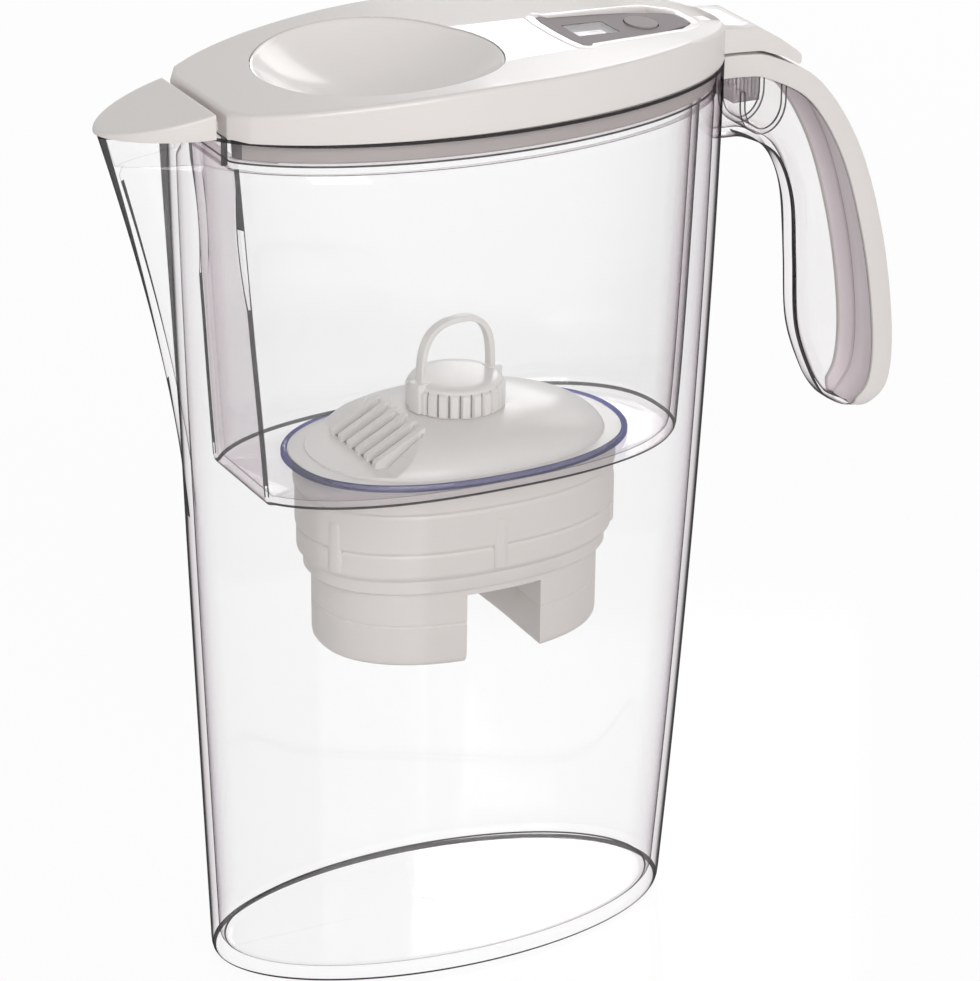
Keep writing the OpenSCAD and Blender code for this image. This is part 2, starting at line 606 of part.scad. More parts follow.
// The dish follows the lid's top at its rim and sinks to the bottom of a round bowl.
function bowl_ring(r, drop) =
    let (rr = (dish_r * dish_r + dish_depth * dish_depth) / 2 / dish_depth,
        s = sqrt(rr * rr - r * r) - (rr - dish_depth))
    [for (i = [0 : 47]) let (w = 7.5 * i)
        [dish_x + r * cos(w), r * sin(w),
            mix(edge_z - 2.4, lid_z(dish_x + dish_r * cos(w), dish_r * sin(w)), pow(r / dish_r, 4)) - s - drop]];

module fill_flap() {
    color([0.87, 0.84, 0.83]) {
        loft([for (p = [[3, 2], [10, 2], [18, 2], [25, 2], [31.5, 2], [dish_r, 1.6], [dish_r, 0],
            [32.8, 0], [30.5, 0], [25, 0], [18, 0], [10, 0], [3, 0]]) bowl_ring(p[0], p[1])], capped = false);
        translate([dish_x, 0, edge_z - 2.4 - dish_depth - 1.9]) cylinder(h = 1.9, r = 3.6, $fn = 48);
        difference() {
            for (y = [-8.6, 2.6]) {
                translate([fp[0], y, fp[1]]) along_y(2.1, 0, 6);
                translate([fp[0] - 8, y, fp[1] - 1.7]) cube([8, 6, 2.4]);
            }
            translate([fp[0], 0, fp[1]]) along_y(fp_r + pin_gap, -20, 20);
        }
    }
}

module fill_flap_pin() {
    color([0.7, 0.7, 0.72])
    translate([fp[0], 0, fp[1]]) along_y(fp_r, -12.4, 12.4);
}

// Torsion spring on the pin, between the flap's two knuckles.
module fill_flap_spring() {
    color([0.7, 0.7, 0.72])
    translate([fp[0], 0, fp[1]]) {
        rotate([90, 0, 0]) rotate_extrude($fn = 64)
            for (k = [-2 : 2]) translate([1.6, k * 0.88]) circle(r = 0.46, $fn = 24);
        translate([0, -1.76, 0]) rotate([0, 48, 0]) translate([0, 0, 1.5]) cylinder(h = 2.4, r = 0.4, $fn = 24);
    }
}

// ---- spout flap -------------------------------------------------------------------------------

cap_slope = 0.218;
cap_tip = rim_shift - rim_a - spout_reach - 0.5;
cap_x = cap_back + 1.2;                        // middle of its oval
// Plan of the spout flap set in by t, straight at its back.
function cap_plan(t, back) =
    let (a = cap_x - cap_tip - t, b = cap_half_w - t, turn = acos(-pow((cap_x - back) / a, 0.9)))
    [for (i = [0 : 28]) let (v = turn + (360 - 2 * turn) * i / 28)
        [cap_x + a * power(cos(v), 2 / 1.8), b * power(sin(v), 2 / 1.8)]];

module cap_block(t, drop, low) {
    intersection() {
        translate([0, 0, low]) linear_extrude(20) polygon(cap_plan(t, t > 0 ? cap_back - 1.3 : cap_back));
        translate([cap_tip, -30, jug_h + 1.2 - drop]) rotate([0, -atan(cap_slope), 0])
            translate([-10, 0, -40]) cube([60, 60, 40]);
    }
}

module spout_flap() {
    color([0.87, 0.84, 0.83])
    difference() {
        union() {
            difference() {
                cap_block(0, 0, jug_h);
                cap_block(1.6, 1.7, jug_h - 1);
                translate([cap_back - 1.8, -30, jug_h - 1]) cube([5, 60, 4.4]);
                // room for the lid's ears as the flap turns
                for (side = [-1, 1])
                    translate([cap_back - 1.8, side < 0 ? -13 : 9.8, jug_h]) cube([5, 3.2, 5.6]);
            }
            translate([sp[0], 0, sp[1]]) along_y(1.6, -9.9, 9.9);
            translate([sp[0] - 1.3, -9.9, sp[1] + 0.4]) cube([2.6, 19.8, 2.5]);
        }
        translate([sp[0], 0, sp[1]]) along_y(sp_r + pin_gap, -20, 20);
    }
}

module spout_flap_pin() {
    color([0.7, 0.7, 0.72])
    translate([sp[0], 0, sp[1]]) along_y(sp_r, -12.6, 12.6);
}

// ---- gauge ------------------------------------------------------------------------------------

panel_t = 1.2;
button_x = 6.5;
house_low = -8.6;
screw_spots = [[14, 0], [-15.4, 9.3], [-15.4, -9.3]];

// The gauge's own frame: the middle of the panel's face, tilted with the lid's top.
module in_gauge() {
    translate([rim_end - 29.5, 0, edge_z - 2.85]) rotate([0, 1.73, 0]) children();
}

// Half the outline of the gauge panel grown by g, from the handle's side to the dish.
function panel_side(g) = let (l = gauge_l / 2, w = gauge_half_w)
    [[l + g, 0], [l - 0.5 + g, 0.32 * w + g * 0.5], [l - 2 + g * 0.7, 0.42 * w + g], [0.35 * l, 0.68 * w + g],
        [-0.4 * l, 0.87 * w + g], [2.4 - l - g * 0.3, w + g], [1 - l - g, 0.93 * w + g * 0.5],
        [0.3 - l - g, 0.6 * w], [-l - g, 0]];
function panel_points(g) = let (s = panel_side(g))
    concat(s, [for (i = [len(s) - 2 : -1 : 1]) [s[i][0], -s[i][1]]]);

// Outline of the housing below the panel, set in by t.
function house_points(t) = let (s = [[17.2 - t, 4.8 - 0.67 * t], [8, 8.6 - 1.04 * t], [t - 17.9, 12.8 - 1.17 * t]])
    concat(s, [for (i = [2 : -1 : 0]) [s[i][0], -s[i][1]]]);

module window_block(g, z0, z1) {
    translate([-15.5 - g, -5.5 - g, z0]) cube([12.5 + 2 * g, 11 + 2 * g, z1 - z0]);
}

module oval_post(a, b, z0, z1) {
    translate([button_x, 0, z0]) scale([a, b, 1]) cylinder(h = z1 - z0, r = 1, $fn = 64);
}

module gauge_panel() {
    color([0.53, 0.5, 0.5])
    in_gauge() difference() {
        translate([0, 0, -panel_t]) linear_extrude(panel_t) polygon(panel_points(0));
        window_block(0, -2, 1);
        oval_post(4.5, 6.1, -2, 1);
    }
}

module gauge_window() {
    color([0.75, 0.78, 0.76, 0.5])
    in_gauge() window_block(0, -panel_t, -0.1);
}

module gauge_display() {
    color([0.62, 0.66, 0.62])
    in_gauge() window_block(0.8, -panel_t - 2, -panel_t);
}

module reset_button() {
    color([0.6, 0.57, 0.57])
    in_gauge() {
        oval_post(4.2, 5.8, -1.6, 0.4);
        oval_post(4.9, 6.7, -2.1, -1.2);
        translate([button_x, 0, button_travel - 5]) cylinder(h = 2.7 - button_travel, r = 1.5, $fn = 48);
    }
}

module button_dome() {
    color([0.72, 0.72, 0.74])
    in_gauge() translate([button_x, 0, -6]) {
        cylinder(h = 0.6, r = 3, $fn = 48);
        translate([0, 0, 0.5]) cylinder(h = 0.45, r1 = 2.6, r2 = 1.4, $fn = 48);
    }
}

module gauge_board() {
    color([0.16, 0.36, 0.22])
    in_gauge() translate([0, 0, -7]) difference() {
        linear_extrude(1) polygon(house_points(1.5));
        for (p = screw_spots) translate([p[0], p[1], -1]) cylinder(h = 3, r = 2.4, $fn = 48);
    }
}

module gauge_cell() {
    color([0.75, 0.75, 0.77])
    in_gauge() translate([-5.4, 0, house_low]) cylinder(h = 1.6, r = 7.6, $fn = 96);
}

module gauge_housing() {
    color([0.85, 0.83, 0.82])
    in_gauge() {
        difference() {
            translate([0, 0, house_low]) linear_extrude(-house_low - panel_t) polygon(house_points(0));
            translate([0, 0, house_low - 1]) linear_extrude(20) polygon(house_points(1.4));
        }
        for (p = screw_spots)
            difference() {
                translate([p[0], p[1], house_low]) cylinder(h = -house_low - 3, r = 2.3, $fn = 48);
                translate([p[0], p[1], house_low - 1]) cylinder(h = 5, r = 0.8, $fn = 48);
            }
    }
}

module gauge_seal() {
    color([0.25, 0.25, 0.26])
    in_gauge() translate([0, 0, house_low - 0.7]) difference() {
        linear_extrude(0.7) polygon(house_points(0));
        translate([0, 0, -1]) linear_extrude(3) polygon(house_points(1.4));
    }
}

module gauge_cover() {
    color([0.85, 0.83, 0.82])
    in_gauge() difference() {
        union() {
            translate([0, 0, house_low - 2.1]) linear_extrude(1.4) polygon(house_points(0));
            translate([0, 0, house_low - 0.8]) linear_extrude(0.8) polygon(house_points(1.6));
        }
        for (p = screw_spots) {
            translate([p[0], p[1], house_low - 5]) cylinder(h = 10, r = 0.95, $fn = 48);
            translate([p[0], p[1], house_low - 3]) cylinder(h = 1.9, r = 1.7, $fn = 48);
        }
    }
}

module gauge_screws() {
    color([0.7, 0.7, 0.72])
    in_gauge() for (p = screw_spots)
        difference() {
            translate([p[0], p[1], house_low]) {
                translate([0, 0, -2.1]) cylinder(h = 1, r = 1.6, $fn = 48);
                translate([0, 0, -1.2]) cylinder(h = 5, r = 0.8, $fn = 48);
            }
            for (a = [0, 90]) translate([p[0], p[1], house_low - 2.2]) rotate([0, 0, a])
                translate([-1, -0.2, 0]) cube([2, 0.4, 0.7]);
        }
}

// ---- drawing ----------------------------------------------------------------------------------

jug_body();
handle_channel();
handle_strip();
handle_latch();
reservoir();
socket_seal();
lid_shell();
fill_flap();
fill_flap_pin();
fill_flap_spring();
spout_flap();
spout_flap_pin();
gauge_panel();
gauge_window();
gauge_display();
reset_button();
button_dome();
gauge_board();
gauge_cell();
gauge_housing();
gauge_seal();
gauge_cover();
gauge_screws();
cartridge_cup();
cartridge_dome();
cartridge_knob();
cartridge_loop();
inlet_screen();
upper_felt();
carbon_media();
lower_felts();
outlet_grids();
outlet_plug();
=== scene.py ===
"""Water filter pitcher with a flip lid: the looks of every visible piece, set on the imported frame.

Shapes are given in millimetres, with the origin in the middle of the base, +Z up, -X the spout and
+X the handle, and become metres where a mesh is made."""
import bpy, math
import numpy as np
from mathutils import Matrix, Vector


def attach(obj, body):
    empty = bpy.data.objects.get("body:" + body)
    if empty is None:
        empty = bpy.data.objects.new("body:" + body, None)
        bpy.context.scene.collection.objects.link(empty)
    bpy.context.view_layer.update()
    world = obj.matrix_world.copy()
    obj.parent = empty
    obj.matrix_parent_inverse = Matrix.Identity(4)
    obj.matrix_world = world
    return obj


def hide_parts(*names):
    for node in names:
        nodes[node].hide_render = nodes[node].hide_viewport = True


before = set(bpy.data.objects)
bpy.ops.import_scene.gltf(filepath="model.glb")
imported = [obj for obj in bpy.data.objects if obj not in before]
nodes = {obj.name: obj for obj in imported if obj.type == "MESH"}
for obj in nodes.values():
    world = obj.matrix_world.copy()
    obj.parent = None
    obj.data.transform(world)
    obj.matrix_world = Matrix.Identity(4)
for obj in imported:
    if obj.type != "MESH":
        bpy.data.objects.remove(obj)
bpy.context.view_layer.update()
MM = 0.001


# ---- meshes -----------------------------------------------------------------------------------
def mix(p, q, t):
    return p + (q - p) * t


def oval(a, b, turn, n=2.0, x=0.0, y=0.0):
    """Points of |x/a|^n + |y/b|^n = 1 at the angles turn: the cosine and sine, each to the power 2/n."""
    c, s = np.cos(turn), np.sin(turn)
    return np.stack(np.broadcast_arrays(x + a * np.sign(c) * np.abs(c) ** (2 / n),
                                        y + b * np.sign(s) * np.abs(s) ** (2 / n)), -1)


def lift(flat, z):
    """Plane points (x, y) with a height beside them."""
    return np.concatenate([flat, np.broadcast_to(np.asarray(z, float), flat.shape[:-1])[..., None]], -1)


def around(count, start=0.0):
    return start + 2 * np.pi * np.arange(count) / count


ALL = 999  # stands for the end of a stripe that goes on past the last ring or the last point
OUT, IN, LINE = 0, 1, 2  # material numbers of a clear shell: its outside, its inside and its dark corner lines


def skin(rings, ends="poles", bands=((0, 0),), lines=()):
    """A shell through rings of equal length, as (ring, point, xyz). It is closed by a fan to the middle of
    its first and last ring (poles), by one flat face at each end (flat), or by running from the last ring
    back to the first (loop). bands holds (first ring, material number) for each stretch of it, and lines
    (ring, ring, point, point, material number) for narrow stripes from the first of each pair up to the
    second. The faces are turned over if the volume that they enclose, summed over fans, comes out negative."""
    rings = np.asarray(rings, float)
    m, n, _ = rings.shape
    pts = rings.reshape(-1, 3)
    j, i = np.meshgrid(np.arange(m if ends == "loop" else m - 1), np.arange(n), indexing="ij")
    k, up = (i + 1) % n, (j + 1) % m
    blocks = [np.stack([j * n + i, j * n + k, up * n + k, up * n + i], -1).reshape(-1, 4)]
    first, which = np.array(bands).T
    mats = [which[np.searchsorted(first, j.ravel(), side="right") - 1]]
    for j0, j1, i0, i1, number in lines:
        mats[0][((j >= j0) & (j < j1) & (i >= i0) & (i < i1)).ravel()] = number
    i = np.arange(n)
    k = (i + 1) % n
    if ends == "poles":
        pts = np.vstack([pts, rings[0].mean(0), rings[-1].mean(0)])
        blocks += [np.stack([k, i, np.full(n, m * n)], 1),
                   np.stack([(m - 1) * n + i, (m - 1) * n + k, np.full(n, m * n + 1)], 1)]
        mats += [np.full(n, which[0]), np.full(n, which[-1])]
    if ends == "flat":
        blocks += [i[None, ::-1], (m - 1) * n + i[None]]
        mats += [which[:1], which[-1:]]
    volume = sum(np.einsum("ij,ikj->", pts[f[:, 0]], np.cross(pts[f[:, 1:-1]], pts[f[:, 2:]]))
                 for f in blocks)
    if volume < 0:
        blocks = [f[:, ::-1] for f in blocks]
    return pts, blocks, np.concatenate(mats)


def make(name, shells, body, mats, old=(), crease=32):
    """One named piece from its shells, which rides on a body and stands for the CAD nodes in old."""
    pts, faces, which, base = [], [], [], 0
    for p, blocks, m in shells:
        pts.append(p)
        faces += [row for f in blocks for row in (f + base).tolist()]
        which.append(m)
        base += len(p)
    me = bpy.data.meshes.new(name)
    me.from_pydata((np.vstack(pts) * MM).tolist(), [], faces)
    for m in mats:
        me.materials.append(m)
    me.polygons.foreach_set("material_index", np.concatenate(which).astype(np.int32))
    me.shade_smooth()
    me.set_sharp_from_angle(angle=math.radians(crease))
    ob = bpy.data.objects.new(name, me)
    bpy.context.scene.collection.objects.link(ob)
    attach(ob, body)
    if old:
        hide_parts(*old)
    return ob


def upright(outline, places):
    """Copies of an outline in x and z, standing at the given places along Y."""
    return [np.stack([outline[:, 0], np.full(len(outline), y), outline[:, 1]], 1) for y in places]


def spline(p, t):
    """Catmull-Rom curve through the points p, at the places t from 0 to the last point's number."""
    p = np.asarray(p, float)
    k = np.clip(np.floor(t).astype(int), 0, len(p) - 2)
    f = (t - k)[:, None]
    a, b, c, d = p[np.maximum(k - 1, 0)], p[k], p[k + 1], p[np.minimum(k + 2, len(p) - 1)]
    return 0.5 * (2 * b + (c - a) * f + (2 * a - 5 * b + 4 * c - d) * f ** 2 + (3 * b - a - 3 * c + d) * f ** 3)


def rounded(section, r):
    """A closed outline, or a stack of them, with three points for each corner: r before it, a little inside
    it, and r after it, but never more than 0.45 of the edge away."""
    back, on = np.roll(section, 1, -2) - section, np.roll(section, -1, -2) - section
    lb, lo = (np.maximum(np.linalg.norm(v, axis=-1, keepdims=True), 1e-6) for v in (back, on))
    b, o = back / lb * np.minimum(r, 0.45 * lb), on / lo * np.minimum(r, 0.45 * lo)
    three = np.stack([section + b, section + 0.28 * (b + o), section + o], -2)
    return three.reshape(*section.shape[:-2], -1, section.shape[-1])


# ---- materials --------------------------------------------------------------------------------
def tone(code):
    """Linear colour of an sRGB hex code such as 'f2efec'."""
    c = np.array([int(code[i:i + 2], 16) for i in (0, 2, 4)]) / 255
    return (*np.where(c <= 0.04045, c / 12.92, ((c + 0.055) / 1.055) ** 2.4), 1.0)


def new_material(name):
    m = bpy.data.materials.new(name)
    m.use_nodes = True
    m.node_tree.nodes.clear()
    return m, m.node_tree


def add(tree, kind, links=None, **settings):
    """Adds a node: settings are its properties or socket values, links are socket -> source socket."""
    n = tree.nodes.new(kind)
    for key, value in settings.items():
        if hasattr(n, key):
            setattr(n, key, value)
        else:
            n.inputs[key.replace("_", " ")].default_value = value
    for key, source in (links or {}).items():
        if isinstance(source, bpy.types.NodeSocket):
            tree.links.new(source, n.inputs[key])
        else:
            n.inputs[key].default_value = source
    return n


def moulded(name, code, rough=0.32, grain_mm=1.2, bump=0.02, coat=0.0, shine=0.5, vary=0.04):
    """Injection moulded plastic: an even colour with a faint flow variation and a very fine orange peel."""
    m, t = new_material(name)
    where = add(t, "ShaderNodeTexCoord").outputs["Object"]
    flow = add(t, "ShaderNodeTexNoise", {"Vector": where}, Scale=1 / (38 * MM), Detail=2.0)
    peel = add(t, "ShaderNodeTexNoise", {"Vector": where}, Scale=1 / (grain_mm * MM), Detail=1.0)
    base = tone(code)
    low = (*[v * (1 - vary) for v in base[:3]], 1)
    hue = add(t, "ShaderNodeMix", data_type="RGBA")
    t.links.new(flow.outputs["Fac"], hue.inputs[0])
    hue.inputs[6].default_value, hue.inputs[7].default_value = low, base
    rmap = add(t, "ShaderNodeMapRange", {"Value": flow.outputs["Fac"], "To Min": rough - 0.03,
                                         "To Max": rough + 0.03})
    bmp = add(t, "ShaderNodeBump", {"Height": peel.outputs["Fac"]}, Strength=bump, Distance=0.0002)
    p = add(t, "ShaderNodeBsdfPrincipled", {"Base Color": hue.outputs[2], "Roughness": rmap.outputs[0],
                                            "Normal": bmp.outputs[0], "IOR": 1.49, "Coat Weight": coat,
                                            "Coat Roughness": 0.1, "Specular IOR Level": shine})
    add(t, "ShaderNodeOutputMaterial", {"Surface": p.outputs[0]})
    return m


def clear(name, stops, sheen=0.1, gloss_rough=0.04):
    """Clear styrene: seen square on, a wall lets nearly all light through. Seen along its length, the sight
    line runs through many millimetres of it, so it takes on its own violet grey and ends in a dark line,
    where the bent light comes from the dark of the room.
    stops are (how far the surface is turned away, sRGB colour of what comes through). The gloss grows with
    the fifth power of the turn, on both sides of a wall alike, up to sheen."""
    m, t = new_material(name)
    turned = add(t, "ShaderNodeLayerWeight", Blend=0.5).outputs["Facing"]
    ramp = add(t, "ShaderNodeValToRGB", {"Fac": turned})
    spots = ramp.color_ramp.elements
    while len(spots) < len(stops):
        spots.new(1.0)
    for spot, (at, code) in zip(spots, stops):
        spot.position, spot.color = at, tone(code)
    through = add(t, "ShaderNodeBsdfTransparent", {"Color": ramp.outputs[0]})
    gloss = add(t, "ShaderNodeBsdfGlossy", Roughness=gloss_rough, Color=(1, 1, 1, 1))
    fifth = add(t, "ShaderNodeMath", {0: turned, 1: 5.0}, operation="POWER")
    edge = add(t, "ShaderNodeMapRange", {"Value": fifth.outputs[0], "To Min": 0.035, "To Max": sheen})
    body = add(t, "ShaderNodeMixShader", {"Fac": edge.outputs[0], 1: through.outputs[0],
                                          2: gloss.outputs[0]})
    add(t, "ShaderNodeOutputMaterial", {"Surface": body.outputs[0]})
    return m


def metal(name, code, rough=0.28):
    """Drawn stainless wire and pins: bright, with fine lengthwise marks."""
    m, t = new_material(name)
    where = add(t, "ShaderNodeTexCoord").outputs["Object"]
    marks = add(t, "ShaderNodeTexNoise", {"Vector": where}, Scale=1 / (0.6 * MM), Detail=3.0)
    r = add(t, "ShaderNodeMapRange", {"Value": marks.outputs["Fac"], "To Min": rough - 0.08,
                                      "To Max": rough + 0.08})
    p = add(t, "ShaderNodeBsdfPrincipled", {"Roughness": r.outputs[0], "Base Color": tone(code)},
            Metallic=1.0)
    add(t, "ShaderNodeOutputMaterial", {"Surface": p.outputs[0]})
    return m


OUTSIDE = ((0, "ffffff"), (0.5, "fdfdfd"), (0.66, "f6f4f5"), (0.76, "dfdbdd"), (0.81, "8c888a"),
           (0.85, "2b292a"), (1, "0c0b0c"))
WITHIN = ((0, "ffffff"), (0.5, "fdfdfd"), (0.7, "f1eef0"), (0.83, "cfcacd"), (0.91, "757174"),
          (1, "2c292b"))
JUG_OUT, JUG_IN = clear("clear_styrene_jug", OUTSIDE), clear("clear_styrene_jug_inside", WITHIN)
TANK_OUT = clear("clear_styrene_reservoir", ((0, "ffffff"), (0.45, "fefefe"), (0.6, "f7f4f5"),
                                             (0.72, "e0dadd"), (0.82, "9a9396"), (0.88, "3a3738"),
                                             (1, "0c0b0c")))
TANK_IN = clear("clear_styrene_reservoir_inside", WITHIN)
# A corner of a clear moulding bends light from the dark of the room to the eye from every side; here that dark
# is painted in as a dark line, a painted reflection.
CORNER_PAINTED_DARK = clear("clear_styrene_corner_painted_dark", ((0, "534f51"), (0.5, "3d3a3b"), (0.8, "222021"), (1, "0c0b0c")))
HANDLE_CLEAR = clear("clear_styrene_handle", ((0, "fefefe"), (0.5, "fcfbfb"), (0.68, "f0edee"),
                                              (0.78, "b9b3b5"), (0.84, "4f4b4d"), (0.9, "1c1a1b"),
                                              (1, "0c0b0c")))
RING_BLUE = clear("violet_socket_ring", ((0, "b9b8dc"), (0.5, "8786bd"), (0.8, "5a59a0"), (1, "33336c")))
LID_WHITE = moulded("white_polypropylene_lid", "dfd9d6", rough=0.36, coat=0.35, shine=0.4)
# The strip's inner faces are seen through the handle's clear wall, which adds its own tint; they lie in shade and
# are painted lighter than the lid as painted light, with that tint painted in too.
STRIP_INSIDE_PAINTED_LIGHT = moulded("white_polypropylene_strip_inside_painted_light", "fdf4f8", rough=0.5, shine=0.2)
# The dish's gloss and coat are its own, but its tone is painted lighter than the lid's as painted light.
DISH_PAINTED_LIGHT = moulded("polished_polypropylene_dish_painted_light", "e9e4e1", rough=0.24, coat=0.6)
# The lid's plug below its edge, which the jug's rim shades, is painted a duller grey as painted shade; its ends by
# the open front are painted darker still.
SKIRT_PAINTED_SHADE = moulded("painted_shade_polypropylene_skirt", "b0a7a5", rough=0.45, shine=0.2)
SKIRT_END_PAINTED_SHADE = moulded("painted_shade_polypropylene_end", "6a6365", rough=0.45, shine=0.2)
# The cartridge's cover and its cup are one white plastic, kept as two copies: the cover's lighter as painted light,
# the cup's darker as painted shade.
FILTER_WHITE = moulded("white_polypropylene_cartridge", "e9e5e2", rough=0.34, coat=0.12)
CUP_PAINTED_SHADE = moulded("white_polypropylene_cup_painted_shade", "dad3d0", rough=0.42)
# Painted shade for the grooves and slots of the cartridge, where little light gets in.
GROOVE_PAINTED_SHADE = moulded("painted_shade_cartridge_groove", "8d8684", rough=0.6, shine=0.1)
GAUGE_GREY = moulded("grey_gauge_panel", "857b7d", rough=0.5, shine=0.15)
BUTTON_GREY = moulded("grey_button_rubber", "a29899", rough=0.55, shine=0.2)
STEEL = metal("stainless_steel_wire", "b9babd")

# ---- jug --------------------------------------------------------------------------------------
JUG_H, FLANGE_Z, PROW_FOOT = 249.3, 239.8, 130
JUG_ARC, JUG_PROW = 220, 26  # points of a jug ring: round the oval, then across the prow


def jug_oval(z):
    """Half length, half width and middle x of the jug's oval at height z. The length flares with
    1-(1-z/h)^1.5, and the middle moves with 1-(1-z/h)^2.5."""
    up = np.minimum(z / JUG_H, 1)
    return mix(69.6, 81.1, 1 - (1 - up) ** 1.5), mix(36.6, 43.3, up), 2.4 * (1 - (1 - up) ** 2.5)


def jug_ring(z, t):
    """Jug section at height z, set in by t: the long way round the oval, then the prow, which stands out by
    the spout's rise to the power 1.65 times a rounded tent."""
    a, b, cx = jug_oval(z)
    a, b, s = a - t, b - t, max(0, (z - PROW_FOOT) / (JUG_H - PROW_FOOT))
    w = 4 + 6.5 * s - 0.65 * t
    turn = np.pi - np.arcsin(w / b)
    k = np.linspace(1, -1, JUG_PROW + 2)[1:-1]
    tent = 21.6 * s ** 1.65 * (1 - np.abs(k) ** 1.5)
    prow = np.stack([cx - a * np.sqrt(1 - (k * w / b) ** 2) - tent, k * w], 1)
    return lift(np.vstack([oval(a, b, np.linspace(-turn, turn, JUG_ARC), x=cx), prow]), z)


def jug_shell():
    """The jug: up the outside, over the rim, down to the ledge that carries the reservoir and on to the
    floor. Painted dark lines, standing in for the dark that clear corners bend to the eye, run round its foot, rim
    and floor, down the prow's tip, outside and inside, and down the corner where the prow leaves the oval."""
    walls = np.concatenate([np.arange(4, PROW_FOOT, 7), np.arange(PROW_FOOT, JUG_H - 1, 3.4)])
    outside = [(0, 6), (0, 1.9), (0.15, 1.2), (0.5, 0.7), (1.2, 0.3), (2.2, 0.08)] + [(z, 0)
                                                                                      for z in walls] + [(248.2, 0)]
    rim = [(JUG_H - 0.5, 0), (JUG_H - 0.12, 0.12), (JUG_H, 0.5), (JUG_H, 1.5), (JUG_H - 0.12, 1.88),
           (JUG_H - 0.5, 2)]
    ledge = [(FLANGE_Z + 0.2, 2), (FLANGE_Z, 2.2), (FLANGE_Z, 3.6), (FLANGE_Z - 0.3, 3.8),
             (FLANGE_Z - 2.5, 2.4)]
    inside = [(z, 2.4) for z in walls[::-1] if 7 < z < 236] + [(6, 2.4), (4.8, 2.7), (3.9, 3.3),
                                                               (3.6, 3.7), (3.3, 4.2), (3, 5.4), (3, 7)]
    first = len(outside) + 3
    rings = [jug_ring(z, t) for z, t in outside + rim + ledge + inside]
    nose, top, end = len(outside) - 30, len(outside) + 1, len(rings)
    tip, corner = JUG_ARC + 12, JUG_ARC - 1
    lines = [(2, 4, 0, ALL, LINE), (top - 2, top, 0, ALL, LINE), (end - 4, end - 3, 0, ALL, LINE),
             (nose + 8, top, tip - 3, tip + 1, LINE), (nose - 4, nose + 8, tip - 6, tip, LINE),
             (nose - 6, top, corner, corner + 1, LINE), (top + 10, top + 34, tip - 2, tip + 1, LINE)]
    return skin(rings, bands=((0, OUT), (first, IN)), lines=lines)


def gate_mark():
    """The small moulded nub in the middle of the floor, a flattened dome."""
    r = np.array([2.2, 2.1, 1.6, 0.9])
    return skin([lift(oval(q, q, around(24), x=-4), z) for q, z in zip(r, (3.0, 3.35, 3.6, 3.7))])


make("jug_clear_shell", [jug_shell(), gate_mark()], "jug", [JUG_OUT, JUG_IN, CORNER_PAINTED_DARK],
     ["jug_body"])

# ---- handle -----------------------------------------------------------------------------------
BACK = [[80, 249], [88, 248.8], [97, 247], [112.5, 238], [126, 218], [135, 190.8], [139.6, 163],
        [139.4, 145],
        [134.5, 137.6], [129.6, 136.2]]
GRIP = [[78, 223.2], [86, 222.8], [93, 221.8], [103, 215.6], [108.6, 202.5], [110.2, 183.5], [111.7, 163],
        [117.2, 147.6], [122.4, 139.6], [126.6, 136.9]]
HALF = 10.4  # half the handle's width
INSIDE = HALF - 1.7  # half its hollow's width
TIP_START = 6.5  # the place on the outlines where the tip begins to narrow


def handle_rings(t, section, r):
    """Sections along the handle at the places t on its two outlines. section(d, t) gives (depth below the
    back, y) for the handle's depth d there. The tip narrows by sqrt(1-0.9 u^2)."""
    o, g = spline(BACK, t), spline(GRIP, t)
    d = np.linalg.norm(g - o, axis=1)
    u = (g - o) / d[:, None]
    f = np.sqrt(1 - 0.9 * np.clip((t - TIP_START) / 2.5, 0, 1) ** 2)
    flat = rounded(np.stack([np.array(section(q, s), float) for q, s in zip(d, t)]), r)
    spot = o[:, None] + u[:, None] * flat[..., :1]
    return np.stack([spot[..., 0], flat[..., 1] * f[:, None], spot[..., 1]], -1)


def channel_section(d, t):
    """The clear channel: a rounded grip face, side walls up to the strip's edge, and a hollow whose floor is
    only 0.6 mm deep at the very tip."""
    s, k = min(6.5, d * 0.42), min(1.6, d * 0.2) + 0.1
    deep = mix(k + 0.6, d - 2.4, np.clip((8.5 - t) / 0.5, 0, 1))
    half = [(d, 3.1), (mix(s, d, 0.86), 7.5), (mix(s, d, 0.55), HALF - 0.3), (s + 0.15, HALF),
            (s + 0.1, INSIDE),
            (k, INSIDE), (k, INSIDE - 2), (mix(k, deep, 0.55), INSIDE - 2.3), (mix(k, deep, 0.85), 5.2),
            (deep, 1.7)]
    return half + [(p, -y) for p, y in half[::-1]]


def strip_section(d, t):
    """The cover strip: a shallow U whose side walls clip over the channel's."""
    s, k = min(6.5, d * 0.42), min(1.6, d * 0.2)
    half = [(0, HALF), (s, HALF), (s, INSIDE + 0.1), (k, INSIDE + 0.1)]
    return half + [(p, -y) for p, y in half[::-1]]


def clear_of_jug(p):
    """Moves what lies inside the jug out to 0.05 mm off its wall, along X: the wall's x is that of its oval
    at the point's own height and y."""
    a, b, cx = jug_oval(p[..., 2])
    wall = cx + a * np.sqrt(np.maximum(0, 1 - (p[..., 1] / b) ** 2)) + 0.05
    return np.concatenate([np.maximum(p[..., :1], wall[..., None]), p[..., 1:]], -1)


along = np.concatenate([np.linspace(0, 2, 14), np.linspace(2, 6, 32)[1:], np.linspace(6, 9, 40)[1:]])
channel = clear_of_jug(handle_rings(along, channel_section, 0.9))


